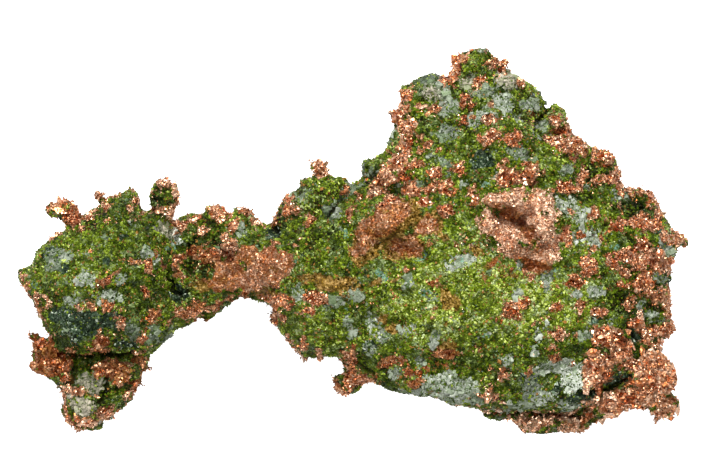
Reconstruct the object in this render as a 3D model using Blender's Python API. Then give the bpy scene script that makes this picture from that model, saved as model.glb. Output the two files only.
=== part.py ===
# Native copper nugget: copper that grew through and over a crust of granular epidote, grey
# quartz and dark chlorite. It is one natural growth, so it is one solid.
#
# It lies on its back. +X runs from the small head to the large body, +Y to the peak on the
# body's upper edge, +Z up from the surface it rests on, and the origin is under the middle of
# its box. Sizes and places below are in millimetres; MM turns them into metres.

from math import cos, pi, sin

import bmesh
import bpy
import numpy as np
from mathutils import Matrix, Vector, geometry, noise

MM = 0.001
NODE = "copper_nugget"

# Driving dimensions
NUGGET_LENGTH = 94.0  # X, from the tip of the head to the spike on the body's right side
NUGGET_WIDTH = 54.2  # Y, from the lower copper ledge to the peak
CAST_VOXEL = 0.38  # grid on which the lobes, lumps and spurs are fused
FACE_BUDGET = 9500  # triangles of the finished solid, before the resting flats are cut
RIM_STEP = 0.9  # spacing of points along a lobe's rim
FIELD_STEP = 1.0  # spacing of points inside a lobe

# How rough the fused surface is: (height, width of one swell), coarse to fine
SWELLS = ((0.80, 7.0), (0.46, 3.2), (0.22, 1.6))
CELL_HEIGHT, CELL_WIDTH = 0.60, 2.8  # rounded nodules of the crust
UNDERSIDE_SWELL = (1.1, 9.0)  # the side that rests is the more uneven one
RIM_SHARE = 0.35  # share of the roughness that a wall keeps, so that the outline holds its place

# Lobes: the outline seen from above, and the heights of the rim, the top and the underside.
# top_roll and under_roll are how far in from the rim the surface turns from wall to flat.
LOBES = {
    "body": {
        "outline": (
            (-12.6, 1.8), (-11.1, 3.2), (-10.2, 5.0), (-9.9, 6.3), (-8.0, 6.7), (-7.2, 8.3),
            (-5.8, 8.7), (-3.4, 8.8), (-0.9, 8.4), (-0.2, 7.8), (1.0, 8.3), (1.7, 9.7),
            (1.4, 10.8), (2.6, 11.5), (4.3, 12.4), (5.0, 14.0), (5.9, 16.0), (6.4, 18.0),
            (7.3, 19.8), (8.6, 21.0), (11.0, 21.8), (13.4, 23.2), (15.6, 24.6), (18.0, 25.2),
            (20.4, 24.4), (22.9, 23.1), (24.6, 22.2), (26.8, 20.6), (27.2, 19.0), (27.2, 17.2),
            (27.4, 15.4), (29.6, 14.9), (31.2, 14.4), (33.1, 12.7), (36.2, 12.3), (37.2, 10.6),
            (37.6, 9.0), (37.9, 7.6), (40.0, 7.5), (41.7, 6.2), (43.0, 4.3), (44.4, 2.4),
            (45.2, 0.2), (45.3, -1.0), (44.6, -3.2), (44.1, -6.0), (44.3, -8.4), (44.2, -10.6),
            (42.6, -12.6), (41.0, -15.4), (39.4, -18.6), (36.8, -21.2), (33.4, -23.1),
            (29.0, -24.1), (23.4, -24.4), (18.6, -23.6), (14.2, -22.9), (10.9, -21.5),
            (7.4, -21.5), (4.8, -20.9), (2.6, -19.4), (0.6, -17.2), (-2.2, -16.2),
            (-5.0, -16.1), (-7.4, -16.1), (-8.9, -13.9), (-10.9, -11.8), (-11.3, -10.0),
            (-12.0, -8.6), (-12.8, -5.0), (-13.2, -1.0),
        ),
        "rim": 8.2, "top": 16.8, "under": 1.9, "top_roll": 15.0, "under_roll": 11.0,
    },
    "peak knob": {
        "outline": (
            (12.9, 22.6), (14.0, 24.6), (14.3, 26.1), (15.8, 26.6), (17.6, 27.3), (19.0, 26.6),
            (20.2, 25.0), (21.0, 22.6), (17.4, 20.4),
        ),
        "rim": 9.0, "top": 14.2, "under": 4.4, "top_roll": 3.6, "under_roll": 4.0,
    },
    "grey shoulder": {
        "outline": (
            (5.9, 17.0), (6.8, 19.2), (6.4, 21.9), (8.2, 22.1), (9.3, 22.8), (10.6, 23.4),
            (12.9, 23.2), (14.6, 21.2), (11.0, 17.6),
        ),
        "rim": 8.0, "top": 12.6, "under": 4.0, "top_roll": 3.4, "under_roll": 4.0,
    },
    "boulder": {
        "outline": (
            (26.2, 17.8), (27.4, 19.4), (28.4, 19.6), (29.4, 18.8), (30.0, 17.7), (30.6, 15.7),
            (30.4, 13.6), (28.0, 13.0), (26.4, 14.6),
        ),
        "rim": 8.4, "top": 12.8, "under": 4.8, "top_roll": 2.4, "under_roll": 3.0,
    },
    "left brow": {
        "outline": (
            (-9.4, 6.2), (-7.8, 7.0), (-7.0, 8.5), (-5.8, 8.8), (-3.4, 8.9), (-0.8, 8.6),
            (0.2, 5.4), (-2.4, 2.6), (-7.4, 2.2), (-9.8, 4.2),
        ),
        "rim": 9.6, "top": 14.8, "under": 5.0, "top_roll": 3.0, "under_roll": 4.0,
    },
    "quartz slab": {
        "outline": (
            (3.6, -18.6), (5.2, -20.6), (7.4, -21.3), (10.9, -21.6), (14.2, -23.0),
            (18.4, -23.5), (21.0, -22.6), (19.6, -19.8), (15.4, -17.2), (9.0, -16.8),
        ),
        "rim": 9.4, "top": 14.0, "under": 5.0, "top_roll": 2.4, "under_roll": 4.0,
    },
    "cream boulder": {
        "outline": (
            (25.0, -20.6), (25.8, -22.6), (28.6, -23.9), (32.6, -23.2), (35.4, -20.8),
            (34.8, -17.4), (30.6, -15.6), (26.6, -17.0),
        ),
        "rim": 9.8, "top": 15.2, "under": 5.0, "top_roll": 3.0, "under_roll": 4.0,
    },
    "lower ledge": {
        "outline": (
            (18.0, -22.8), (18.4, -24.4), (19.8, -25.2), (23.2, -25.3), (23.6, -26.5),
            (26.3, -26.6), (30.3, -26.4), (32.4, -26.7), (33.6, -25.6), (35.4, -24.0),
            (36.4, -20.6), (28.0, -18.6), (19.0, -19.6),
        ),
        "rim": 4.6, "top": 7.4, "under": 1.7, "top_roll": 2.6, "under_roll": 3.0,
    },
    "foil mass": {
        "outline": (
            (36.0, -10.4), (40.4, -9.6), (43.6, -10.8), (44.7, -12.1), (43.0, -14.2),
            (43.2, -16.2), (44.6, -17.3), (44.9, -19.2), (44.6, -21.4), (45.5, -22.0),
            (45.5, -23.6), (43.0, -24.1), (41.6, -23.3), (38.0, -24.0), (35.3, -25.0),
            (33.4, -26.0), (32.0, -21.4), (34.4, -15.6),
        ),
        "rim": 6.4, "top": 11.6, "under": 2.4, "top_roll": 4.2, "under_roll": 4.0,
    },
    "hook": {
        "outline": (
            (-3.0, -13.6), (-1.5, -16.4), (-1.2, -17.6), (-1.7, -18.4), (-2.7, -18.9),
            (-2.5, -20.2), (-1.9, -21.2), (-1.2, -21.8), (-0.2, -21.6), (1.0, -20.8),
            (2.6, -20.2), (4.4, -20.6), (5.2, -16.0), (2.0, -12.8),
        ),
        "rim": 5.6, "top": 9.4, "under": 2.4, "top_roll": 2.4, "under_roll": 2.6,
    },
    "neck": {
        "outline": (
            (-28.6, 3.0), (-25.2, 2.9), (-23.2, 3.5), (-21.3, 3.9), (-20.9, 5.2), (-18.4, 5.2),
            (-17.4, 3.8), (-16.4, 4.4), (-14.4, 4.7), (-13.6, 3.2), (-12.2, 2.4), (-8.0, 3.0),
            (-7.0, -4.0), (-9.0, -9.6), (-12.2, -8.6), (-13.8, -8.1), (-15.4, -8.0),
            (-16.9, -9.1), (-18.4, -10.3), (-21.0, -10.8), (-22.8, -11.8), (-25.0, -12.2),
            (-29.0, -9.0),
        ),
        "rim": 7.0, "top": 10.8, "under": 3.2, "top_roll": 5.0, "under_roll": 5.0,
    },
    "head": {
        "outline": (
            (-25.2, 2.6), (-26.6, 4.0), (-28.6, 4.3), (-29.5, 4.8), (-29.9, 6.0), (-30.7, 7.3),
            (-31.2, 6.9), (-32.9, 6.5), (-34.4, 5.8), (-35.9, 4.5), (-38.2, 3.3), (-39.4, 2.0),
            (-41.0, 0.9), (-42.3, 0.2), (-43.9, -1.2), (-44.4, -2.8), (-46.0, -4.2), (-46.5, -5.4),
            (-46.1, -6.8), (-44.9, -8.2), (-43.8, -10.2), (-42.8, -12.3), (-41.8, -13.8),
            (-40.9, -15.7), (-37.0, -16.4), (-32.6, -16.2), (-28.4, -16.0), (-27.2, -15.2),
            (-26.0, -14.2), (-24.9, -13.0), (-24.4, -9.4), (-24.6, -4.0),
        ),
        "rim": 8.6, "top": 15.4, "under": 2.2, "top_roll": 8.4, "under_roll": 6.6,
    },
    "knob stalk": {
        "outline": (
            (-28.1, 2.6), (-27.8, 4.8), (-28.4, 6.6), (-27.5, 7.8), (-26.0, 8.6), (-24.9, 7.8),
            (-24.2, 6.4), (-24.6, 4.8), (-24.8, 3.6), (-25.4, 1.6),
        ),
        "rim": 9.6, "top": 11.8, "under": 7.4, "top_roll": 1.8, "under_roll": 1.8,
    },
    "thumb": {
        "outline": (
            (-37.4, 3.2), (-38.7, 4.4), (-39.8, 5.2), (-41.2, 5.2), (-42.0, 5.0), (-42.4, 4.2),
            (-41.8, 3.4), (-40.2, 2.8), (-38.4, 0.8), (-36.6, 1.6),
        ),
        "rim": 9.2, "top": 10.9, "under": 7.4, "top_roll": 1.5, "under_roll": 1.5,
    },
    "tail": {
        "outline": (
            (-40.4, -12.6), (-42.2, -14.1), (-43.6, -13.6), (-44.6, -14.0), (-44.8, -15.5),
            (-43.9, -17.4), (-42.8, -18.4), (-41.3, -19.6), (-40.6, -21.2), (-40.4, -23.2),
            (-40.7, -24.6), (-39.9, -25.8), (-38.8, -26.9), (-37.2, -26.4), (-35.4, -26.2),
            (-34.6, -25.0), (-33.2, -24.6), (-31.8, -23.4), (-30.6, -21.8), (-30.4, -20.8),
            (-29.2, -19.6), (-28.9, -18.0), (-28.3, -16.2), (-29.8, -12.0),
        ),
        "rim": 4.8, "top": 9.2, "under": 1.5, "top_roll": 4.2, "under_roll": 3.6,
    },
}

# Rounded lumps that stand out of the lobes: centre (x, y, z) and half-sizes (x, y, z)
LUMPS = {
    "knob cap": ((-26.4, 7.2, 10.1), (1.6, 1.4, 1.8)),
    "thumb ball": ((-41.3, 4.3, 9.3), (1.1, 1.0, 1.4)),
    "head crown": ((-36.4, -5.4, 12.8), (6.6, 5.6, 3.4)),
    "chlorite boss": ((-37.4, -11.4, 11.2), (4.4, 3.2, 3.2)),
    "head jaw": ((-29.4, -13.4, 8.2), (3.0, 2.2, 3.2)),
    "tail quartz": ((-38.0, -22.4, 6.2), (2.2, 2.4, 3.0)),
    "tail green": ((-33.2, -21.6, 6.0), (2.2, 2.2, 2.8)),
    "tail copper": ((-42.4, -15.8, 6.2), (2.0, 2.2, 2.6)),
    "neck copper": ((-11.6, -4.0, 9.4), (4.4, 3.0, 3.4)),
    "neck ridge": ((-18.2, -0.4, 9.6), (2.0, 2.4, 2.6)),
    "neck green": ((-20.6, -4.4, 9.2), (2.2, 2.0, 2.6)),
    "brow copper": ((6.0, 9.0, 12.6), (4.0, 2.4, 3.6)),
    "copper humps": ((4.6, 2.8, 14.0), (5.8, 3.6, 4.2)),
    "hump toe": ((1.6, -0.6, 13.8), (2.2, 2.4, 3.4)),
    "upper shelf": ((21.6, 5.4, 15.4), (4.4, 2.0, 4.0)),
    "left cheek": ((18.9, 2.2, 15.2), (2.0, 2.6, 3.8)),
    "right cheek": ((26.2, 2.8, 15.2), (2.8, 4.0, 4.3)),
    "lit slab": ((22.6, -0.2, 14.8), (3.4, 1.9, 4.0)),
    "cheek foot": ((26.6, -3.0, 14.4), (2.6, 1.7, 3.4)),
    "bright plate": ((22.7, 14.4, 13.6), (1.8, 1.6, 2.6)),
    "shelf above mass": ((23.6, 9.4, 14.6), (3.4, 1.7, 2.9)),
    "mottled dome": ((16.2, 18.6, 11.6), (5.6, 4.4, 3.7)),
    "grey dome": ((21.2, 21.2, 11.0), (2.4, 2.2, 2.9)),
    "right band": ((30.0, 12.2, 10.6), (3.0, 1.8, 3.0)),
    "right brow": ((34.2, 10.8, 9.8), (2.3, 1.4, 2.4)),
    "dark shoulder": ((39.8, 5.0, 9.8), (2.8, 2.4, 3.2)),
    "white cheek": ((31.5, 2.2, 14.6), (2.6, 3.6, 2.6)),
    "wing": ((32.4, -3.8, 14.6), (2.8, 2.0, 2.8)),
    "spike root": ((43.6, 0.6, 8.8), (2.4, 1.7, 2.2)),
    "grey block": ((41.6, -10.2, 9.4), (2.4, 2.2, 3.0)),
    "right copper": ((41.9, -6.6, 10.0), (1.8, 2.6, 3.0)),
    "foil crest": ((38.0, -14.6, 10.0), (3.6, 2.6, 2.6)),
    "foil knuckle": ((42.2, -19.4, 8.2), (2.8, 3.0, 3.6)),
    "foil lip": ((36.6, -22.4, 7.2), (2.8, 1.6, 2.8)),
    "ledge nose": ((26.6, -25.1, 4.8), (3.4, 1.5, 2.4)),
    "ledge nose 2": ((31.2, -25.0, 4.8), (2.2, 1.5, 2.6)),
    "hook ball": ((-0.7, -20.0, 5.8), (1.8, 1.7, 2.4)),
    "left foot": ((-8.0, -11.8, 8.8), (2.0, 2.0, 3.0)),
    "lower left rib": ((-7.6, -8.6, 13.2), (3.4, 1.8, 2.6)),
    "slab crown": ((12.0, -19.8, 12.2), (5.4, 2.2, 2.6)),
    "under body left": ((4.0, -4.0, 2.6), (7.0, 6.0, 2.2)),
    "under body right": ((31.0, 2.0, 2.8), (7.6, 5.0, 2.4)),
    "under head": ((-33.0, -3.0, 3.4), (5.0, 4.0, 2.4)),
}

# Feet: clusters of lumps on the underside that the resting flats are cut on
FEET = {
    "right foot": ((36.4, -12.4, 1.9), (3.9, 2.9, 2.4)),
    "right foot heel": ((34.0, -8.6, 2.0), (2.6, 3.4, 2.3)),
    "right foot toe": ((39.0, -15.0, 2.0), (2.2, 2.8, 2.2)),
    "top foot": ((14.4, 12.0, 1.7), (3.4, 3.6, 2.6)),
    "top foot heel": ((18.4, 14.4, 1.8), (3.2, 2.0, 2.5)),
    "top foot toe": ((11.6, 15.4, 2.3), (2.4, 2.2, 2.5)),
    "low foot": ((8.6, -13.4, 1.9), (3.6, 2.4, 2.3)),
    "low foot heel": ((5.0, -11.4, 2.0), (2.4, 2.6, 2.2)),
    "head foot": ((-35.0, -10.0, 1.9), (3.0, 3.0, 2.4)),
    "head foot heel": ((-37.8, -7.6, 2.0), (2.4, 2.0, 2.3)),
    "head foot toe": ((-33.0, -6.4, 2.1), (1.8, 2.2, 2.3)),
}

# Spurs: thin copper spines. Each runs from its root to its tip and tapers from its radius.
SPURS = {
    "right spike": ((42.8, 0.3, 8.8), (47.0, -0.5, 9.2), 1.5),
    "right barb": ((42.4, -11.9, 7.2), (45.5, -12.2, 7.6), 1.4),
    "foil tooth": ((43.0, -22.6, 5.0), (42.6, -25.5, 4.2), 1.3),
    "foil corner": ((43.4, -22.0, 5.4), (45.8, -23.0, 5.8), 1.4),
    "ledge tooth": ((32.0, -24.8, 4.4), (32.4, -27.0, 3.8), 1.2),
    "peak horn left": ((15.6, 24.2, 10.4), (14.9, 26.7, 11.2), 1.3),
    "peak horn right": ((19.9, 23.8, 10.0), (21.8, 25.6, 10.8), 1.5),
    "shoulder barb": ((6.8, 17.2, 9.0), (4.8, 18.2, 9.6), 0.9),
    "brow spike foot": ((-3.7, 7.8, 10.6), (-4.8, 10.7, 11.4), 1.1),
    "brow spike tip": ((-4.3, 10.2, 11.3), (-6.4, 11.2, 11.8), 0.9),
    "neck horn": ((-20.4, 3.0, 8.2), (-20.8, 5.7, 9.2), 0.9),
    "neck tooth": ((-16.2, 2.8, 8.0), (-16.3, 4.9, 8.8), 0.8),
    "head beak": ((-43.6, -4.4, 8.8), (-47.0, -4.2, 9.2), 1.4),
    "head crest": ((-31.4, 5.0, 9.2), (-30.7, 7.7, 10.0), 0.9),
    "head spur foot": ((-34.2, 4.8, 9.4), (-35.6, 6.4, 10.2), 0.7),
    "head spur tip": ((-35.2, 6.1, 10.1), (-36.0, 7.2, 10.4), 0.6),
    "thumb finger left": ((-40.1, 4.2, 9.8), (-40.4, 6.3, 10.8), 0.8),
    "thumb finger right": ((-39.4, 3.8, 9.6), (-38.9, 5.8, 10.6), 0.9),
    "tail beak": ((-43.4, -15.0, 5.6), (-45.6, -12.6, 6.4), 1.0),
    "tail barb left": ((-39.4, -24.0, 4.6), (-41.6, -24.4, 4.8), 0.8),
    "tail barb right": ((-34.8, -23.6, 5.2), (-33.5, -25.1, 5.4), 0.8),
    "tail finger": ((-31.0, -19.4, 5.6), (-29.2, -20.5, 6.2), 0.8),
    "tail thorn": ((-30.6, -17.6, 5.8), (-28.2, -18.1, 6.4), 0.9),
    "left foot tooth": ((-7.0, -14.0, 6.4), (-6.9, -17.0, 5.6), 0.9),
    "left foot thorn": ((-4.6, -14.6, 6.6), (-4.6, -16.9, 6.0), 0.7),
}

# Pits, cracks and creases: the line they run along, half-width and depth, pressed straight down
PITS = {
    "cave": (((20.6, 4.0), (23.2, 2.9)), 1.1, 3.0),
    "cave slope": (((23.4, 2.7), (26.0, -0.8)), 0.8, 1.6),
    "shadow under mass": (((23.6, -3.2), (26.8, -5.0)), 0.8, 1.0),
    "hump shadow": (((5.4, -0.8), (9.4, -1.9)), 1.0, 1.2),
    "brow hole": (((2.2, 8.6), (2.6, 9.0)), 0.7, 2.2),
    "neck hole": (((-11.0, 1.4), (-10.4, 1.6)), 0.9, 2.6),
    "ridge hole": (((-17.6, -2.4), (-17.2, -2.0)), 0.7, 1.8),
    "neck crease": (((-25.8, 2.2), (-25.0, -0.6), (-25.7, -4.0), (-24.4, -8.6)), 0.8, 1.9),
    "boulder crack": (((27.1, 18.8), (25.9, 16.0)), 0.6, 1.6),
    "boulder hollow": (((28.4, 15.4), (29.0, 15.3)), 0.8, 1.4),
    "ledge crease": (((23.6, -24.7), (27.4, -24.0), (30.4, -24.4), (33.4, -23.6)), 0.6, 1.1),
    "foil crease": (((33.2, -20.9), (35.6, -19.8), (38.8, -20.8)), 0.9, 1.8),
    "tail crease": (((-41.2, -16.0), (-37.4, -16.9), (-33.6, -16.1), (-29.8, -16.7)), 0.7, 1.7),
    "stain hollow": (((12.4, -6.2), (14.4, -8.6)), 1.2, 0.7),
    "low hollow": (((2.2, -10.8), (6.0, -11.6)), 1.6, 0.5),
    "chlorite hollow": (((17.8, 12.6), (17.8, 10.8)), 1.4, 0.8),
    "brow gully": (((-0.6, 7.6), (0.6, 4.6), (-1.6, 1.4)), 0.8, 0.9),
    "slab gully": (((6.0, -17.2), (10.4, -16.0), (14.6, -17.4), (20.2, -19.2)), 0.6, 0.4),
    "upper gully": (((10.6, 16.6), (14.4, 14.6), (19.6, 16.4), (24.6, 17.6)), 0.8, 0.9),
    "right gully": (((33.4, 7.6), (35.4, 3.6), (36.4, -2.2), (37.6, -8.4)), 0.9, 0.9),
}

# Copper crystals with flat faces: patch centre (x, y), patch half-sizes, how many, mean size
CRYSTAL_PATCHES = {
    "peak": ((17.0, 25.0), (3.0, 1.4), 7, 1.3),
    "shoulder band": ((7.2, 16.0), (1.4, 5.4), 12, 1.3),
    "brow": ((6.2, 9.0), (4.0, 1.8), 9, 1.4),
    "central mass": ((23.4, 2.0), (5.0, 4.6), 15, 1.7),
    "shelf": ((23.8, 9.8), (3.0, 1.6), 7, 1.3),
    "plate": ((22.8, 14.4), (1.2, 1.0), 3, 1.6),
    "right edge top": ((31.0, 12.4), (3.0, 1.0), 7, 1.3),
    "right edge": ((41.4, -2.0), (2.0, 6.6), 17, 1.3),
    "wing": ((31.8, -3.8), (2.2, 1.6), 6, 1.4),
    "foil": ((40.4, -18.4), (4.4, 5.0), 20, 1.7),
    "foil left": ((36.2, -14.0), (2.6, 3.0), 8, 1.5),
    "ledge": ((28.4, -25.0), (4.8, 0.8), 9, 1.4),
    "hook": ((-0.9, -19.2), (1.0, 2.0), 6, 1.0),
    "left foot": ((-8.4, -10.0), (2.6, 2.6), 7, 1.1),
    "brow left": ((-5.0, 4.6), (4.2, 3.2), 7, 1.1),
    "neck": ((-18.4, -1.0), (5.2, 4.0), 14, 1.2),
    "neck lump": ((-11.8, -4.2), (3.2, 2.2), 8, 1.3),
    "neck low": ((-22.0, -9.2), (2.6, 1.4), 6, 1.2),
    "knob": ((-26.6, 7.0), (1.0, 0.9), 5, 0.8),
    "thumb": ((-40.4, 4.0), (1.8, 1.2), 6, 0.9),
    "head": ((-35.0, -4.0), (8.0, 8.0), 12, 1.0),
    "tail left": ((-42.2, -16.2), (1.8, 2.0), 11, 1.2),
    "tail right": ((-32.6, -18.0), (3.4, 1.8), 9, 1.2),
    "tail tip": ((-37.0, -24.6), (3.6, 1.6), 8, 1.2),
    "upper body": ((15.6, 17.6), (5.0, 4.6), 9, 1.0),
    "lower body": ((20.0, -12.0), (14.0, 7.0), 14, 1.0),
}
UNDERSIDE_LUMPS = 110  # seeded lumps that roughen the side that rests
WALL_LUMPS = 130  # and the walls below the rim
WALL_BAND = (2.4, 7.0)  # heights of the wall lumps
SEED = 29
SKY = 60.0  # where rays start, well clear of the nugget
PIT_REACH = 1.6  # a pit fades out at this many half-widths


def remove_everything():
    for leftover in list(bpy.data.objects):
        bpy.data.objects.remove(leftover, do_unlink=True)


def edge_distance(points, outline):
    """Distance of each point from a closed outline."""
    start = outline
    run = np.roll(outline, -1, axis=0) - start
    gap = points[:, None, :] - start[None, :, :]
    share = (gap * run).sum(2) / (run * run).sum(1)
    nearest = gap - share.clip(0, 1)[:, :, None] * run
    return np.sqrt((nearest**2).sum(2)).min(1)


def inside(points, outline):
    """True for each point inside a closed outline, by counting the edges to its right."""
    x, y = points[:, 0, None], points[:, 1, None]
    x0, y0 = outline[:, 0], outline[:, 1]
    x1, y1 = np.roll(x0, -1), np.roll(y0, -1)
    spans = (y0 > y) != (y1 > y)
    rise = np.where(y1 == y0, 1.0, y1 - y0)
    crossing = x0 + (y - y0) * (x1 - x0) / rise
    return (spans & (x < crossing)).sum(1) % 2 == 1


def finer_outline(outline, step):
    """The outline with extra points along its longer edges."""
    points = []
    for start, end in zip(outline, np.roll(outline, -1, axis=0)):
        parts = max(1, round(float(np.linalg.norm(end - start)) / step))
        points += [start + (end - start) * k / parts for k in range(parts)]
    return np.array(points)


def roll(distance, reach):
    """0 at the rim, 1 from reach inwards, as a quarter of an ellipse."""
    return np.sqrt(1.0 - (1.0 - (distance / reach).clip(0, 1)) ** 2)


def add_mesh(bm, points, faces):
    made = [bm.verts.new(Vector(p)) for p in points]
    for face in faces:
        bm.faces.new([made[k] for k in face])


def add_lobe(bm, lobe):
    """A cushion-shaped solid on the lobe's outline."""
    outline = np.array(lobe["outline"])
    rim = finer_outline(outline, RIM_STEP)
    low, high = outline.min(0), outline.max(0)
    xs = np.arange(low[0], high[0], FIELD_STEP)
    ys = np.arange(low[1], high[1], FIELD_STEP)
    field = np.array([(x + (k % 2) * FIELD_STEP / 2, y) for k, y in enumerate(ys) for x in xs])
    field = field[inside(field, outline)]
    field = field[edge_distance(field, outline) > 0.4 * RIM_STEP]
    flat = np.vstack([rim, field])
    ring = list(range(len(rim)))
    found = geometry.delaunay_2d_cdt([Vector(p) for p in flat], [], [ring], 1, 1e-5)
    plan = np.array([tuple(p) for p in found[0]])
    depth = edge_distance(plan, outline)
    on_rim = depth < 1e-3
    wave = np.array([noise.noise(Vector((x, y, lobe["rim"])) / 8.0) for x, y in plan])
    level = lobe["rim"] + 1.4 * wave
    top = level + (lobe["top"] - level) * roll(depth, lobe["top_roll"])
    under = level - (level - lobe["under"]) * roll(depth, lobe["under_roll"])

    # a triangle with all its corners on the rim would have no thickness
    triangles = [t for t in found[2] if not all(on_rim[k] for k in t)]
    points = [(x, y, z) for (x, y), z in zip(plan, top)]
    lower = np.arange(len(plan))
    for k in np.flatnonzero(~on_rim):
        lower[k] = len(points)
        points.append((plan[k][0], plan[k][1], under[k]))
    faces = [tuple(t) for t in triangles]
    faces += [tuple(int(lower[k]) for k in reversed(t)) for t in triangles]
    add_mesh(bm, points, faces)


def add_lump(bm, centre, half_sizes, roughness=0.16):
    """A rounded lump with an uneven surface."""
    size = Matrix.Diagonal((*half_sizes, 1.0))
    found = bmesh.ops.create_icosphere(bm, subdivisions=3, radius=1.0)
    for vert in found["verts"]:
        swell = noise.noise(vert.co * 1.6 + Vector(centre))
        vert.co = size @ (vert.co * (1.0 + roughness * swell)) + Vector(centre)


def add_spur(bm, root, tip, radius):
    """A six-sided spine, bent and knotted a little, from its root to a blunt tip."""
    root, tip = Vector(root), Vector(tip)
    axis = tip - root
    side = axis.cross(Vector((0.2, 0.3, 1.0))).normalized()
    other = axis.cross(side).normalized()
    sides, rings = 6, 5
    points = []
    for ring in range(rings):
        along = ring / (rings - 1)
        centre = root + axis * along * 0.96
        knot = 1.0 + 0.25 * sin(along * 9.0 + root.x)
        width = radius * (1.0 - 0.72 * along) * knot
        for k in range(sides):
            angle = 2 * pi * k / sides + along
            points.append(centre + width * (side * cos(angle) + other * sin(angle)))
    faces = []
    for ring in range(rings - 1):
        for k in range(sides):
            a, b = ring * sides + k, ring * sides + (k + 1) % sides
            faces.append((a, b, b + sides, a + sides))
    last = len(points)
    points += [root, tip]
    faces += [(last, (k + 1) % sides, k) for k in range(sides)]
    base = (rings - 1) * sides
    faces += [(last + 1, base + k, base + (k + 1) % sides) for k in range(sides)]
    add_mesh(bm, points, faces)


def add_crystal(bm, centre, size, rng):
    """A blocky copper crystal: a stretched cube or octahedron, turned at random."""
    turn = Matrix.Rotation(rng.uniform(0, 2 * pi), 4, Vector(rng.normal(size=3)).normalized())
    stretch = Matrix.Diagonal((*(size * rng.uniform(0.7, 1.35, 3)), 1.0))
    place = Matrix.Translation(centre) @ turn @ stretch
    if rng.random() < 0.55:
        bmesh.ops.create_cube(bm, size=1.25, matrix=place)
    else:
        corners = [(1, 0, 0), (-1, 0, 0), (0, 1, 0), (0, -1, 0), (0, 0, 1), (0, 0, -1)]
        faces = [(0, 2, 4), (2, 1, 4), (1, 3, 4), (3, 0, 4), (2, 0, 5), (1, 2, 5), (3, 1, 5), (0, 3, 5)]
        add_mesh(bm, [place @ Vector(c) for c in corners], faces)


def object_from(bm, name):
    """Puts a mesh made in millimetres into a new object."""
    mesh = bpy.data.meshes.new(name)
    bm.to_mesh(mesh)
    bm.free()
    made = bpy.data.objects.new(name, mesh)
    bpy.context.collection.objects.link(made)
    return made


def apply_modifiers(made):
    """Swaps an object's mesh for the one its modifiers give."""
    bpy.context.view_layer.update()
    graph = bpy.context.evaluated_depsgraph_get()
    shaped = bpy.data.meshes.new_from_object(made.evaluated_get(graph))
    made.modifiers.clear()
    made.data = shaped


def fuse(made):
    """Fuses every overlapping solid in the object into one skin."""
    cast = made.modifiers.new("Fuse", "REMESH")
    cast.mode = "VOXEL"
    cast.voxel_size = CAST_VOXEL
    apply_modifiers(made)


def grow_crystals(made, grown, rng):
    """Stands copper crystals on the surface of each patch."""
    for centre, half, count, size in CRYSTAL_PATCHES.values():
        for _ in range(count):
            x, y = np.array(centre) + np.array(half) * rng.uniform(-1, 1, 2)
            hit, place, _, _ = made.ray_cast(Vector((x, y, SKY)), Vector((0, 0, -1)))
            if hit:
                sunk = place - Vector((0, 0, 0.25 * size))
                add_crystal(grown, sunk, size * rng.uniform(0.6, 1.2), rng)


def covered(made, x, y, reach):
    """True if the nugget covers a spot of this reach, so a lump there keeps the outline."""
    for dx, dy in ((reach, 0), (-reach, 0), (0, reach), (0, -reach)):
        if not made.ray_cast(Vector((x + dx, y + dy, SKY)), Vector((0, 0, -1)))[0]:
            return False
    return True


def grow_underside(made, grown, rng):
    """Roughens the side that rests with lumps that stop short of the surface below."""
    for _ in range(UNDERSIDE_LUMPS):
        x = rng.uniform(-NUGGET_LENGTH / 2, NUGGET_LENGTH / 2)
        y = rng.uniform(-NUGGET_WIDTH / 2, NUGGET_WIDTH / 2)
        size = rng.uniform(0.9, 2.4)
        hit, place, normal, _ = made.ray_cast(Vector((x, y, -SKY)), Vector((0, 0, 1)))
        if hit and place.z > 1.0 and normal.z < -0.4 and covered(made, x, y, 1.3 * size):
            sunk = place + Vector((0, 0, max(0.3 * size, size - place.z + 0.3)))
            add_lump(grown, sunk, (size, size * 0.8, size * 0.9), 0.3)


def grow_walls(made, grown, rng):
    """Roughens the walls below the rim, from all four sides."""
    for k in range(WALL_LUMPS):
        side = 1 if k % 2 else -1
        z = rng.uniform(*WALL_BAND)
        if k % 4 < 2:
            start = Vector((rng.uniform(-NUGGET_LENGTH / 2, NUGGET_LENGTH / 2), side * SKY, z))
            heading = Vector((0, -side, 0))
        else:
            start = Vector((side * SKY, rng.uniform(-NUGGET_WIDTH / 2, NUGGET_WIDTH / 2), z))
            heading = Vector((-side, 0, 0))
        size = rng.uniform(0.8, 1.9)
        hit, place, _, _ = made.ray_cast(start, heading)
        centre = place + heading * 0.85 * size
        if hit and covered(made, centre.x, centre.y, 0.75 * size):
            add_lump(grown, centre, (size, size, size * 0.8), 0.25)


def grow_small_forms(made, rng):
    """Adds the small forms to the fused lobes and fuses them in too."""
    grown = bmesh.new()
    grow_crystals(made, grown, rng)
    grow_underside(made, grown, rng)
    grow_walls(made, grown, rng)
    grown.from_mesh(made.data)
    grown.to_mesh(made.data)
    grown.free()
    fuse(made)


def line_distance(point, line):
    """Distance of a point from a line of straight runs."""
    nearest = None
    for start, end in zip(line, line[1:]):
        start, run = Vector(start), Vector(end) - Vector(start)
        share = min(max((point - start).dot(run) / run.length_squared, 0.0), 1.0)
        gap = (point - start - run * share).length
        nearest = gap if nearest is None else min(nearest, gap)
    return nearest


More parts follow.
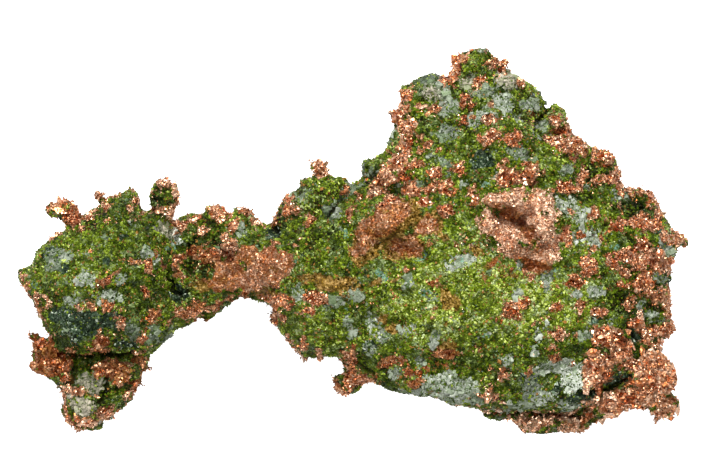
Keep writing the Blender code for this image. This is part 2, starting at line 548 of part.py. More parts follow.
def pit_depth(point):
    """How far the surface is pressed down at a point, seen from above."""
    depth = 0.0
    fray = 1.0 + 0.5 * noise.noise(Vector((*point, 0)) / 1.7)
    for line, half_width, deepest in PITS.values():
        gap = line_distance(point, line) / (half_width * fray)
        if gap < PIT_REACH:
            depth = max(depth, deepest * cos(gap / PIT_REACH * pi / 2) ** 1.5)
    return depth


def roughen(made):
    """Gives the fused skin its swells, grains and pits."""
    mesh = made.data
    normals = [n.vector.copy() for n in mesh.vertex_normals]
    for vert, normal in zip(mesh.vertices, normals):
        place = vert.co.copy()
        lift = 0.0
        for height, width in SWELLS:
            lift += height * noise.noise(place / width + Vector((0, 0, width)))
        nearest = noise.voronoi(place / CELL_WIDTH)[0][0]
        lift += CELL_HEIGHT * (0.45 - nearest)
        if normal.z < 0:
            lift += UNDERSIDE_SWELL[0] * noise.noise(place / UNDERSIDE_SWELL[1])
        facing = RIM_SHARE + (1.0 - RIM_SHARE) * abs(normal.z)
        vert.co = place + normal * lift * facing
        if normal.z > 0.2:
            vert.co.z -= pit_depth(place.xy) * min(1.0, normal.z * 1.6)
    mesh.update()


def keep_largest_piece(bm):
    """Deletes every loose island but the largest one."""
    unseen = set(bm.verts)
    islands = []
    while unseen:
        stack = [unseen.pop()]
        island = [stack[0]]
        while stack:
            for edge in stack.pop().link_edges:
                for vert in edge.verts:
                    if vert in unseen:
                        unseen.discard(vert)
                        stack.append(vert)
                        island.append(vert)
        islands.append(island)
    islands.sort(key=len)
    for island in islands[:-1]:
        bmesh.ops.delete(bm, geom=island, context="VERTS")


def thin_out(made):
    """Brings the skin down to the face budget, which leaves small flat faces."""
    count = sum(len(p.vertices) - 2 for p in made.data.polygons)
    cut = made.modifiers.new("Facets", "DECIMATE")
    cut.ratio = FACE_BUDGET / count
    cut.use_collapse_triangulate = True
    apply_modifiers(made)


def cut_resting_flats(bm):
    """Cuts what lies below the resting surface and closes the cuts with flats."""
    everything = bm.verts[:] + bm.edges[:] + bm.faces[:]
    found = bmesh.ops.bisect_plane(
        bm, geom=everything, dist=1e-5, plane_co=(0, 0, 0), plane_no=(0, 0, -1), clear_outer=True
    )
    rims = [e for e in found["geom_cut"] if isinstance(e, bmesh.types.BMEdge)]
    caps = bmesh.ops.holes_fill(bm, edges=rims, sides=0)["faces"]
    bmesh.ops.triangulate(bm, faces=caps)


def centre_box(bm):
    """Puts the middle of the box over the origin and gives the box its stated length and width."""
    corners = np.array([v.co[:] for v in bm.verts])
    low, high = corners.min(0), corners.max(0)
    middle = (low + high) / 2
    span = high - low
    fit = (NUGGET_LENGTH / span[0], NUGGET_WIDTH / span[1])
    print("box before fitting", low.round(2), high.round(2))
    for vert in bm.verts:
        vert.co.x = (vert.co.x - middle[0]) * fit[0]
        vert.co.y = (vert.co.y - middle[1]) * fit[1]


def finish(made):
    bm = bmesh.new()
    bm.from_mesh(made.data)
    keep_largest_piece(bm)
    cut_resting_flats(bm)
    centre_box(bm)
    bmesh.ops.triangulate(bm, faces=[f for f in bm.faces if len(f.verts) > 3])
    bmesh.ops.recalc_face_normals(bm, faces=bm.faces)
    bmesh.ops.scale(bm, vec=(MM, MM, MM), verts=bm.verts)
    bm.to_mesh(made.data)
    print("triangles", len(bm.faces), "open edges", sum(not e.is_manifold for e in bm.edges))
    bm.free()
    made.data.name = NODE


def copper_material():
    """Bare copper, a little tarnished, which is what the nugget is named for."""
    material = bpy.data.materials.new("native_copper")
    material.use_nodes = True
    surface = material.node_tree.nodes["Principled BSDF"]
    surface.inputs["Base Color"].default_value = (0.62, 0.27, 0.15, 1.0)
    surface.inputs["Metallic"].default_value = 0.9
    surface.inputs["Roughness"].default_value = 0.38
    return material


def build_nugget():
    rng = np.random.default_rng(SEED)
    bm = bmesh.new()
    for lobe in LOBES.values():
        add_lobe(bm, lobe)
    for centre, half_sizes in [*LUMPS.values(), *FEET.values()]:
        add_lump(bm, centre, half_sizes)
    for root, tip, radius in SPURS.values():
        add_spur(bm, root, tip, radius)
    bmesh.ops.recalc_face_normals(bm, faces=bm.faces)
    nugget = object_from(bm, NODE)
    fuse(nugget)
    grow_small_forms(nugget, rng)
    roughen(nugget)
    thin_out(nugget)
    finish(nugget)
    nugget.data.materials.clear()
    nugget.data.materials.append(copper_material())
    return nugget


remove_everything()
build_nugget()
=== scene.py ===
# Looks of a native copper nugget: the mineral skin, the grains of its crust, the copper
# crystals that stand on it, and a small studio. Places and sizes are in millimetres in the
# part's own frame (+X to the large body, +Y to the peak, +Z up); mm turns them into metres.

from itertools import product
from math import radians

import bmesh
import bpy
import numpy as np
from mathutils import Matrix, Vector


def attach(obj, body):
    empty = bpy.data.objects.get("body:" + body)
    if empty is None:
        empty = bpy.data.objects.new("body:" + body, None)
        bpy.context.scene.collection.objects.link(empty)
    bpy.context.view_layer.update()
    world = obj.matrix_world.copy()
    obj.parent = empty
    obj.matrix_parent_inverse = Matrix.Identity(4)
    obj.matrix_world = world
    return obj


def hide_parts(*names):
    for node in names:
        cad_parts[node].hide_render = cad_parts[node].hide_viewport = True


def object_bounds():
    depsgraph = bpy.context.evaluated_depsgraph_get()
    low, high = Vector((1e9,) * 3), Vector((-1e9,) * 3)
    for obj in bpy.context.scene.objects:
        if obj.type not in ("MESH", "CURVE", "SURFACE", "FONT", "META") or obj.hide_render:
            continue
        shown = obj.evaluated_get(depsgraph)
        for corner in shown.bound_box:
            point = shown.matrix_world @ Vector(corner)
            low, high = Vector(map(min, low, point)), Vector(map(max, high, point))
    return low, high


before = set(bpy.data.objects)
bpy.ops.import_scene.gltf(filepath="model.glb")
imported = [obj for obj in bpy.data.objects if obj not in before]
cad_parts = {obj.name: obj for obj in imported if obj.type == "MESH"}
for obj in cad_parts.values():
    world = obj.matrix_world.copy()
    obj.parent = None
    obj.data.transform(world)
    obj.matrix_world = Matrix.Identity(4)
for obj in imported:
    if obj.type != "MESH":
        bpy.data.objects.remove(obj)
cadBox = [list(corner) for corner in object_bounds()]
mm = 0.001
print("frame loaded, box", np.array(cadBox).round(4).tolist())

# An area is (x, y, half length, half width, turn in degrees), seen from above. Without the
# last number it isn't turned.

# bare copper: size is that of the crystals there, red how far it is from pink to deep red
copperAreas = {
    "thumb": {"size": 0.62, "red": 0.45, "areas": [
        (-39.0, 3.6, 1.2, 1.7, -15), (-41.9, 4.8, 0.8, 0.8), (-40.1, 5.6, 0.6, 0.8),
        (-38.3, 1.9, 0.8, 0.7)]},
    "head spur": {"size": 0.5, "red": 0.3, "areas": [
        (-35.5, 6.6, 0.8, 0.9, 30), (-34.8, 5.4, 0.7, 0.5)]},
    "head crest": {"size": 0.5, "red": 0.25, "areas": [
        (-30.6, 4.7, 0.5, 1.3, -12), (-30.8, 7.1, 0.35, 0.6), (-33.0, 6.4, 0.9, 0.25, 10),
        (-29.6, 3.6, 0.5, 0.4), (-37.4, 3.4, 0.9, 0.4, 25), (-42.2, 0.6, 0.6, 0.4)]},
    "knob": {"size": 0.5, "red": 0.25, "areas": [
        (-26.1, 8.2, 1.4, 0.7), (-24.8, 6.6, 0.6, 1.5), (-26.8, 3.9, 1.5, 0.9, -15),
        (-25.4, 4.4, 0.7, 0.8), (-28.2, 6.9, 0.4, 0.4)]},
    "head": {"size": 0.42, "red": 0.4, "tarnish": 0.4, "areas": [
        (-34.0, -4.9, 1.1, 0.4, 30), (-36.6, -1.6, 0.5, 0.4), (-34.2, 3.1, 0.35, 0.3),
        (-35.0, -8.8, 1.8, 0.5), (-32.1, -7.4, 0.6, 0.5, 30), (-32.1, -9.6, 0.4, 0.3),
        (-32.1, -11.0, 0.6, 0.6), (-28.2, -3.3, 0.4, 1.3), (-30.6, -2.6, 0.5, 0.3),
        (-38.6, -5.8, 0.5, 0.3, 40), (-29.2, -7.0, 0.4, 0.5), (-26.6, -3.4, 0.5, 0.6)]},
    "head jaw": {"size": 0.5, "red": 0.5, "tarnish": 0.5, "areas": [
        (-27.9, -11.0, 0.8, 1.5, -35), (-29.4, -13.6, 0.7, 1.1, -35), (-35.6, -14.3, 1.5, 0.8, 35),
        (-38.8, -15.4, 0.6, 0.5), (-35.6, -15.4, 0.9, 0.4, 20)]},
    "head left rim": {"size": 0.5, "red": 0.3, "areas": [
        (-46.5, -4.6, 0.7, 0.6), (-45.8, -6.6, 0.5, 0.8, 20), (-44.2, -7.9, 0.6, 0.6),
        (-42.4, -8.8, 0.5, 0.5), (-43.4, -11.0, 0.35, 1.4, 10), (-42.4, -13.2, 0.4, 0.6)]},
    "tail left": {"size": 0.8, "red": 0.95, "tarnish": 0.6, "areas": [
        (-44.6, -14.2, 1.2, 1.5, -30), (-43.2, -16.4, 1.8, 2.2, -20)]},
    "tail ember": {"size": 0.7, "red": 0.9, "tarnish": 0.4, "areas": [
        (-41.3, -17.4, 1.5, 1.5), (-40.4, -19.0, 0.6, 0.8)]},
    "tail middle": {"size": 0.7, "red": 0.5, "tarnish": 0.6, "areas": [
        (-34.2, -17.8, 2.2, 1.6), (-30.3, -16.8, 1.5, 1.2), (-31.6, -19.8, 2.2, 0.6, -12),
        (-29.6, -18.4, 0.8, 0.6), (-37.6, -16.0, 1.2, 0.4)]},
    "tail foot": {"size": 0.7, "red": 0.3, "areas": [
        (-39.9, -20.7, 1.5, 0.6, -10), (-40.6, -22.6, 0.6, 2.4, 5), (-37.5, -25.2, 1.0, 0.8),
        (-35.3, -24.2, 1.6, 1.0, 20), (-40.2, -25.2, 1.0, 0.6, -30), (-31.4, -21.6, 0.5, 1.3)]},
    "neck top": {"size": 0.55, "red": 0.3, "areas": [
        (-23.2, 2.6, 1.8, 0.9, 10), (-19.2, 4.0, 1.8, 1.2), (-15.2, 4.2, 1.2, 0.8),
        (-16.8, 2.4, 0.7, 1.4), (-21.4, 1.4, 0.7, 0.5, 30), (-13.4, 2.6, 0.8, 0.6, -30)]},
    "neck ridge": {"size": 0.5, "red": 0.1, "areas": [
        (-18.2, 0.7, 0.7, 1.4, -35), (-17.3, -1.1, 1.4, 0.9, -10)]},
    "neck middle": {"size": 0.5, "red": 0.5, "tarnish": 0.6, "areas": [
        (-24.2, -2.2, 1.0, 0.9), (-22.2, -1.2, 0.9, 0.6, 30), (-20.0, -2.0, 1.3, 0.6, 10),
        (-23.8, -5.0, 1.2, 0.6, -20), (-22.0, -3.6, 1.0, 0.5, 20), (-25.0, -3.6, 0.5, 0.6)]},
    "neck sand": {"size": 0.3, "red": 0.36, "sandy": 1, "tarnish": 0.8, "areas": [
        (-17.6, -4.6, 3.0, 2.3, 8), (-14.6, -2.2, 2.0, 1.6)]},
    "neck lump": {"size": 0.34, "red": 0.3, "sandy": 0.7, "tarnish": 0.52, "areas": [
        (-11.6, -3.6, 3.6, 2.6), (-14.4, -5.6, 2.0, 1.6)]},
    "neck foot": {"size": 0.55, "red": 0.45, "tarnish": 0.45, "areas": [
        (-22.8, -9.8, 2.5, 1.2, 18), (-18.6, -8.6, 1.6, 0.5, 28), (-16.0, -7.6, 1.4, 0.5, 20),
        (-12.6, -7.7, 1.6, 0.6, -15)]},
    "left brow": {"size": 0.5, "red": 0.4, "areas": [
        (-9.5, 6.1, 0.9, 0.7), (-8.8, 4.3, 0.8, 0.7, 20), (-10.8, 3.6, 0.5, 1.2, -30),
        (-5.9, 2.6, 0.9, 0.9), (-2.5, 2.4, 0.5, 0.4), (-0.5, 4.2, 0.8, 1.1), (-1.0, 7.1, 0.6, 0.4),
        (0.6, 6.4, 0.8, 0.5, 20), (-7.3, 0.4, 0.5, 0.4), (-7.4, -1.9, 0.4, 0.4),
        (-9.0, -0.4, 1.2, 0.4, -10)]},
    "brow spike": {"size": 0.6, "red": 0.2, "areas": [(-4.9, 10.4, 1.4, 1.4)]},
    "ridge": {"size": 0.62, "red": 0.35, "areas": [
        (4.6, 8.4, 2.2, 1.2, 20), (6.4, 9.9, 1.8, 0.9, -15), (6.2, 11.4, 1.3, 1.2),
        (2.8, 6.6, 1.8, 0.7, 10), (8.2, 7.0, 1.0, 1.3), (5.4, 5.4, 1.3, 0.9, 30)]},
    "shoulder band": {"size": 0.66, "red": 0.4, "areas": [
        (7.5, 20.6, 1.1, 1.5), (7.4, 18.4, 1.2, 1.2), (6.1, 17.8, 1.0, 0.7, -20),
        (7.5, 15.6, 1.2, 1.9), (6.7, 13.0, 0.9, 1.3, 15), (10.0, 18.4, 1.3, 0.6, -15),
        (8.9, 14.6, 0.6, 0.6)]},
    "peak": {"size": 0.66, "red": 0.4, "areas": [
        (15.3, 25.5, 1.1, 1.0), (14.1, 23.9, 0.9, 1.0), (13.2, 22.0, 1.0, 1.1),
        (16.6, 26.5, 0.8, 0.4, 10), (20.8, 24.9, 1.0, 0.8, 20), (20.2, 23.9, 0.9, 0.4, -30)]},
    "peak embers": {"size": 0.5, "red": 0.6, "areas": [
        (17.1, 22.1, 0.6, 0.6), (17.0, 20.4, 0.4, 0.7), (16.5, 18.6, 0.4, 1.1),
        (15.2, 19.1, 0.35, 0.9), (15.0, 16.8, 0.6, 0.6), (23.6, 22.0, 0.6, 0.5),
        (18.8, 22.6, 0.7, 0.3, 20)]},
    "upper body": {"size": 0.48, "red": 0.45, "areas": [
        (10.0, 13.3, 0.7, 0.5), (14.3, 10.5, 1.1, 1.0), (11.0, 9.4, 1.3, 1.0, 20),
        (10.2, 7.6, 1.5, 0.6, 30), (13.0, 7.3, 1.1, 1.3), (16.5, 7.3, 0.6, 0.9),
        (9.4, 5.4, 1.2, 0.8, 20), (12.2, 12.8, 0.3, 0.3), (12.8, 4.4, 0.8, 0.5), (16.9, 9.2, 0.3, 0.5),
        (17.2, 5.4, 0.4, 1.0), (8.6, 10.6, 0.8, 0.5, 30)]},
    "shelf": {"size": 0.62, "red": 0.35, "areas": [
        (18.9, 14.4, 1.3, 1.2), (18.8, 16.7, 0.7, 0.4), (22.5, 14.2, 1.4, 1.0, 25),
        (24.0, 9.4, 2.2, 1.2, 8), (21.2, 8.6, 1.5, 1.2, 20), (20.7, 10.8, 0.6, 0.7)]},
    "central mass": {"size": 0.38, "red": 0.02, "sandy": 0.85, "tarnish": -0.5, "areas": [
        (21.4, 5.7, 3.0, 1.4, 8), (26.2, 3.6, 2.0, 2.8, 15), (27.2, -0.2, 1.6, 2.0),
        (18.6, 2.7, 1.4, 2.0), (21.4, 0.9, 3.2, 1.7), (22.8, -1.5, 3.0, 1.3, -10),
        (26.7, -1.6, 2.0, 1.5, 10), (23.0, 2.6, 4.0, 3.2), (25.2, 6.4, 1.6, 0.8, 20),
        (17.6, 0.2, 0.8, 0.5, 30)]},
    "mass lip": {"size": 0.3, "red": 0.6, "sandy": 1, "tarnish": 0.8, "areas": [
        (25.3, -3.1, 2.1, 0.8, -12), (19.8, -3.1, 1.4, 0.6, 35)]},
    "right of mass": {"size": 0.45, "red": 0.35, "areas": [
        (29.6, 4.0, 0.6, 0.5), (29.8, 0.0, 0.6, 1.2), (33.2, 3.9, 0.8, 0.7), (34.4, 0.4, 0.7, 0.9),
        (31.5, 8.7, 0.6, 1.7, -25), (34.3, 8.3, 1.2, 0.4, 20), (36.9, 8.4, 0.5, 1.3),
        (32.0, 0.7, 0.6, 0.4), (36.2, 4.6, 0.7, 0.7), (30.2, 7.4, 0.8, 0.35, 20),
        (28.8, 7.5, 0.8, 0.4, 10), (33.0, -1.2, 0.5, 0.4)]},
    "boulder": {"size": 0.6, "red": 0.36, "areas": [(28.3, 16.8, 1.0, 1.2), (30.1, 15.0, 0.7, 1.2)]},
    "right brow": {"size": 0.62, "red": 0.3, "areas": [
        (28.6, 13.8, 1.4, 0.9, -20), (31.3, 13.2, 2.1, 1.1, -30), (33.2, 12.2, 1.2, 0.8)]},
    "right ember": {"size": 0.6, "red": 0.65, "areas": [
        (35.0, 11.7, 1.7, 1.0, -10), (29.0, 15.4, 1.0, 0.5, -15)]},
    "dark shoulder": {"size": 0.55, "red": 0.45, "areas": [
        (39.4, 7.0, 1.6, 0.5, 12), (41.2, 6.2, 0.8, 0.9), (42.9, 4.0, 0.9, 1.2),
        (38.6, 2.7, 3.2, 0.8, 6), (41.6, 2.2, 1.4, 0.7, 20), (36.2, 2.0, 0.8, 0.6)]},
    "right spike": {"size": 0.62, "red": 0.35, "areas": [
        (45.2, 0.2, 2.0, 1.2, -25), (40.2, -0.6, 1.3, 0.9), (41.6, -2.7, 2.9, 1.1, -8),
        (38.2, -1.8, 0.9, 0.9), (44.0, -3.2, 0.9, 1.0)]},
    "right edge": {"size": 0.64, "red": 0.42, "areas": [
        (40.4, -5.6, 1.3, 1.6), (38.9, -7.5, 0.9, 1.3, -35), (43.1, -7.9, 1.4, 1.9),
        (42.8, -12.3, 2.4, 0.9), (40.9, -13.0, 1.2, 1.2), (38.9, -11.4, 0.7, 0.8),
        (44.4, -9.6, 0.5, 1.3), (42.4, -14.6, 1.2, 0.8)]},
    "lower crumbs": {"size": 0.42, "red": 0.5, "areas": [
        (32.2, -3.5, 1.2, 1.2, -30), (30.4, -5.4, 1.3, 0.6, 15), (35.8, -2.6, 1.1, 1.0),
        (36.8, -5.8, 1.2, 0.6, 10), (24.4, -4.9, 0.7, 0.6), (22.4, -9.7, 1.9, 1.0, 25),
        (27.9, -8.8, 0.8, 0.6), (31.5, -8.9, 0.8, 0.6, 20), (33.9, -9.8, 0.9, 0.6, 25),
        (30.7, -12.4, 0.4, 0.35), (28.1, -12.6, 1.2, 0.8), (27.8, -15.6, 0.5, 0.7),
        (26.4, -10.8, 0.9, 0.25, 30), (38.0, -4.2, 0.6, 0.6), (34.0, -4.6, 0.8, 0.4)]},
    "foil left": {"size": 0.8, "red": 0.3, "tarnish": -0.15, "areas": [
        (35.4, -13.2, 2.3, 1.6, -15), (34.2, -17.4, 2.2, 1.9), (37.4, -15.8, 1.8, 1.0, 20),
        (33.2, -19.0, 1.2, 1.0)]},
    "foil": {"size": 0.9, "red": 0.36, "tarnish": -0.3, "areas": [
        (40.6, -17.2, 2.2, 2.2), (42.8, -18.8, 2.3, 2.8), (40.2, -21.4, 2.4, 1.6),
        (36.4, -22.5, 3.6, 1.6, 12), (43.6, -22.8, 2.0, 1.4), (42.6, -24.6, 0.7, 1.2),
        (33.2, -24.2, 1.3, 0.8, 30), (38.6, -19.4, 1.2, 0.7)]},
    "foil embers": {"size": 0.9, "red": 1.0, "areas": [
        (41.4, -16.9, 0.7, 0.8), (44.0, -19.0, 1.1, 1.6), (38.6, -22.6, 0.8, 0.7)]},
    "ledge": {"size": 0.72, "red": 0.12, "tarnish": -0.5, "areas": [
        (25.8, -25.6, 2.4, 1.2), (30.6, -25.6, 2.2, 1.2), (32.2, -26.2, 0.7, 0.9),
        (20.6, -24.6, 2.8, 0.5, -6), (19.2, -21.2, 1.6, 0.9, -35), (24.0, -18.0, 0.8, 0.6),
        (21.4, -18.2, 0.5, 0.4), (28.4, -24.4, 3.2, 0.3)]},
    "ledge ember": {"size": 0.8, "red": 0.75, "areas": [(31.8, -25.4, 0.9, 0.7)]},
    "lower left": {"size": 0.45, "red": 0.4, "areas": [
        (-9.6, -9.2, 1.7, 0.8), (-7.2, -9.4, 1.2, 0.7, 10), (-5.0, -7.8, 1.4, 0.8),
        (-11.2, -8.2, 0.9, 0.9), (-7.5, -15.0, 0.7, 1.3, -25), (-6.9, -16.7, 0.5, 0.5),
        (-4.7, -16.1, 0.5, 0.6), (-11.2, -10.6, 0.5, 1.0), (-8.8, -13.6, 0.6, 0.7)]},
    "hook": {"size": 0.52, "red": 0.5, "areas": [
        (-0.6, -16.2, 0.8, 1.2), (-0.3, -18.6, 1.8, 1.0), (-1.4, -20.2, 1.6, 1.8),
        (1.4, -19.4, 1.6, 0.9)]},
    "humps": {"size": 0.3, "red": 0.3, "sandy": 0.8, "tarnish": 0.7, "areas": [
        (4.0, 2.6, 4.6, 1.7, 32), (1.3, 0.0, 1.6, 2.1), (7.0, -0.8, 2.8, 1.5, 8),
        (9.8, 2.6, 1.8, 1.4, 20)]},
    "rust string": {"size": 0.36, "red": 0.6, "tarnish": 0.6, "areas": [
        (4.9, -16.7, 1.0, 0.4, 10), (6.9, -17.1, 0.8, 0.4, -30), (7.6, -18.4, 0.9, 0.35),
        (10.1, -17.5, 1.0, 0.4, 35), (8.2, -19.5, 0.7, 0.4, 15), (13.4, -15.6, 1.3, 0.4, -8),
        (12.5, -17.2, 0.7, 0.5), (9.4, -18.6, 0.6, 0.3, 50), (7.1, -4.2, 0.5, 0.5),
        (11.7, -5.7, 0.5, 0.6)]},
}

# dull brown copper oxide and iron stain over a smooth or sandy surface
stainAreas = [
    (4.6, 2.2, 5.4, 2.4, 32), (1.4, -0.6, 1.9, 2.5), (6.8, -0.9, 3.2, 1.9, 8),
    (10.2, 2.4, 2.4, 1.7, 20), (-3.4, -5.6, 4.8, 1.1, -4), (12.8, 0.8, 1.0, 0.6),
    (19.1, -3.4, 1.2, 0.6, 20), (0.9, -3.2, 0.9, 0.6), (13.3, -8.4, 1.3, 1.2), (12.6, -7.0, 0.7, 0.9),
    (13.2, -14.6, 1.7, 0.9, -8), (4.0, -10.7, 0.9, 0.9), (5.7, -12.2, 1.2, 0.9, -20),
    (-15.3, -5.6, 0.8, 1.2, 20), (-21.2, -6.2, 1.5, 0.9, 10), (12.5, -11.6, 0.4, 0.6),
    (25.2, -3.1, 2.2, 0.8, -12), (21.4, 3.5, 2.0, 0.9, -10), (24.7, 1.3, 1.9, 0.7, -52),
    (28.9, 15.4, 1.1, 0.5, -15), (35.4, 10.9, 1.2, 0.5, -10), (17.0, -0.9, 0.9, 0.8),
    (-35.5, -14.3, 1.2, 0.7, 35), (10.6, -20.9, 0.5, 0.3), (20.8, 25.0, 0.6, 0.6),
    (2.6, -5.6, 0.8, 0.4, 20), (5.6, -5.2, 0.8, 0.5), (-39.4, -19.1, 0.8, 0.9), (1.4, -19.6, 1.6, 0.5),
    (-12.4, -7.0, 1.4, 0.8), (-1.0, -7.2, 1.6, 0.4), (21.6, -4.7, 1.4, 0.4),
]

# pale grey quartz and feldspar; the last number is how white it is
quartzAreas = [
    (-37.0, -4.7, 1.2, 1.2, 0, 0.6), (-41.4, -2.5, 1.7, 1.2, 10, 0.2), (-34.1, -7.6, 1.5, 0.6, 0, 0.5),
    (-38.5, -8.2, 1.6, 0.8, 10, 0.5), (-32.4, -4.9, 0.8, 0.7, 0, 0.2), (-36.8, -1.8, 0.6, 0.4, 0, 0.3),
    (-28.2, -2.0, 0.6, 1.3, 20, 0.4), (-27.6, -12.9, 1.8, 1.2, 25, 0.1),
    (-31.0, -12.4, 1.2, 1.2, 0, 0.0), (-26.6, 1.9, 1.2, 1.1, 0, 0.35), (-24.8, 1.5, 0.3, 0.9, 12, 1.0),
    (-36.5, -19.9, 1.6, 1.6, 0, 0.3), (-38.0, -23.0, 1.7, 1.8, 10, 0.5),
    (-35.8, -25.5, 0.8, 0.5, 0, 0.3), (-15.6, 1.2, 0.8, 1.7, 0, 0.3), (-12.9, -1.3, 0.8, 0.6, 0, 0.1),
    (-7.4, 6.4, 1.1, 0.7, 30, 0.3), (-3.2, 4.7, 1.1, 0.9, 20, 0.2), (0.0, 7.7, 1.0, 0.5, 10, 0.2),
    (-8.2, -7.7, 1.6, 0.8, 35, 0.4), (-2.4, -8.3, 1.9, 0.9, 30, 0.4), (-0.2, -7.0, 1.0, 0.6, 30, 0.4),
    (-0.5, -11.2, 0.5, 1.2, 0, 0.4), (2.6, -12.2, 0.5, 1.6, 0, 0.45), (4.0, -13.5, 0.9, 0.9, 0, 0.3),
    (7.6, -12.3, 1.2, 0.8, 0, 0.5), (11.0, -13.5, 0.9, 0.9, 0, 0.3), (9.0, -16.3, 0.8, 0.7, 0, 0.2),
    (5.6, -17.9, 1.0, 0.9, 0, 0.4), (7.2, -6.0, 0.6, 0.9, 0, 0.4), (10.6, -7.9, 0.8, 0.9, 0, 0.4),
    (15.0, -2.7, 1.3, 0.5, 15, 0.6), (13.4, -20.5, 4.6, 2.2, -14, 0.55),
    (9.4, -20.6, 2.4, 0.9, 2, 0.45), (17.4, -21.6, 1.4, 1.4, 0, 0.3), (24.4, -19.6, 2.0, 1.4, 0, 0.1),
    (30.4, -18.8, 2.5, 2.0, -20, 1.0), (27.2, -17.7, 2.1, 1.1, 20, 0.55),
    (26.2, -21.7, 1.8, 1.1, 22, 0.85), (30.1, -22.7, 1.3, 0.8, -8, 0.6),
    (22.8, -23.0, 2.4, 0.7, 12, 0.3), (21.5, -16.6, 1.2, 1.0, 0, 0.4),
    (25.3, -13.5, 0.5, 1.6, -20, 0.7), (18.6, -13.2, 0.7, 0.5, 30, 0.4),
    (23.0, -7.2, 0.5, 1.0, -18, 0.6), (23.1, -3.9, 0.5, 0.8, 0, 0.5), (26.7, -4.7, 0.9, 0.9, 0, 0.3),
    (34.0, -6.7, 1.0, 0.8, 0, 0.5), (31.0, -7.2, 0.5, 0.4, 0, 0.5), (32.4, -12.9, 1.2, 0.5, 12, 0.3),
    (35.5, -11.4, 0.6, 0.5, 0, 0.3), (41.6, -10.3, 1.4, 1.0, -20, 0.7), (39.8, -8.8, 0.9, 0.7, 0, 0.1),
    (43.9, -11.0, 0.6, 0.9, 0, 0.3), (42.5, -5.0, 1.6, 0.9, 0, 0.2), (43.3, -0.8, 0.9, 1.4, 0, 0.35),
    (32.4, 0.7, 2.0, 1.6, 0, 0.65), (28.8, 4.8, 1.2, 1.8, -25, 0.7), (31.7, 3.6, 1.4, 1.1, 0, 0.7),
    (29.5, 10.3, 1.3, 0.8, -35, 0.2), (37.0, 6.6, 1.2, 0.9, 0, 0.2), (22.6, 12.2, 1.8, 0.8, -35, 0.3),
    (20.1, 9.3, 0.9, 0.4, 30, 0.1), (21.4, 22.4, 1.8, 1.7, 0, 0.5), (20.4, 19.0, 2.4, 1.6, 15, 0.5),
    (18.0, 20.8, 1.4, 1.0, 0, 0.3), (24.4, 19.2, 1.8, 1.1, 30, 0.2), (16.7, 16.3, 1.2, 1.3, 0, 0.5),
    (26.5, 16.4, 0.7, 0.7, 0, 0.4), (25.6, 14.8, 0.6, 0.4, 0, 0.3), (11.0, 22.7, 2.0, 0.8, 0, 0.0),
    (11.2, 20.6, 1.7, 1.1, 0, 0.4), (15.4, 22.4, 1.1, 1.0, 0, 0.4), (16.0, 20.7, 0.9, 0.8, 0, 0.2),
    (12.8, 18.6, 1.9, 1.2, 10, 0.4), (13.0, 15.0, 2.0, 1.1, 10, 0.2), (11.8, 11.4, 0.9, 0.7, 0, 0.2),
    (13.1, 10.2, 0.5, 1.3, 0, 0.2), (8.9, 8.3, 0.8, 0.7, 0, 0.3), (6.2, 7.3, 0.6, 0.4, 0, 0.2),
    (15.0, 8.0, 0.9, 0.9, 0, 0.4), (10.4, 4.9, 0.5, 0.5, 0, 0.4), (17.8, 27.0, 1.0, 0.3, 0, 0.3),
    (41.6, -17.9, 0.4, 0.8, 20, 0.2), (2.6, 9.8, 1.1, 0.5, -20, 0.1), (29.3, -25.6, 0.4, 0.6, 0, 0.4),
    (4.6, 14.6, 0.5, 1.2, -15, 0.1), (18.6, 17.6, 1.6, 0.9, 0, 0.6), (22.6, 17.6, 1.2, 0.8, 0, 0.4),
    (-34.2, 0.6, 0.5, 0.6, 0, 0.0),
]

# where the quartz is pinkish
warmAreas = [
    (-38.0, -23.0, 2.4, 2.6), (-36.5, -19.9, 2.2, 2.0), (-26.2, 1.7, 1.8, 1.4), (21.4, 22.8, 2.2, 1.8),
    (15.4, 21.6, 1.6, 2.0), (10.6, 20.4, 1.4, 1.2), (-35.8, -25.4, 1.0, 0.7),
]

# dark blue-green chlorite
chloriteAreas = [
    (-37.4, -11.6, 3.4, 2.3), (-33.4, -10.9, 1.9, 1.6), (-42.4, -1.6, 0.9, 0.7),
    (-40.4, -3.6, 0.8, 0.5), (-34.2, -2.6, 0.6, 0.5), (-31.4, 0.6, 0.5, 0.4),
    (-24.6, -7.4, 1.0, 1.2, 20), (-10.2, 3.0, 0.6, 0.8), (-41.0, -10.2, 1.5, 1.3),
    (-11.2, 1.1, 1.0, 0.7), (17.7, 11.5, 1.3, 1.6), (24.4, -18.8, 1.4, 1.0),
    (28.0, -20.6, 1.2, 0.7, 30), (29.8, -23.8, 1.6, 0.6), (32.0, -21.6, 2.2, 0.8, 8),
    (36.6, -19.3, 1.8, 0.8, 12), (39.0, -12.8, 1.0, 1.1), (43.0, 1.1, 0.9, 0.7),
    (2.0, -14.6, 1.0, 0.7), (33.2, -10.9, 0.8, 0.5, 20), (16.0, 20.6, 0.5, 0.4),
    (11.5, 22.9, 1.2, 0.5), (39.6, -9.4, 0.6, 0.5), (20.6, -16.6, 0.4, 0.6),
    (10.9, -8.2, 0.3, 0.7, -30), (-32.0, -14.4, 1.8, 0.7, 10), (44.0, -5.6, 0.7, 0.5),
]

# oxidised hollows in the central copper mass
oxideAreas = [
    (20.9, 4.0, 2.0, 0.8, -25), (24.3, 1.0, 2.5, 0.55, -56), (25.0, -3.1, 2.4, 0.6, -12),
    (32.0, 0.6, 0.6, 0.45),
]

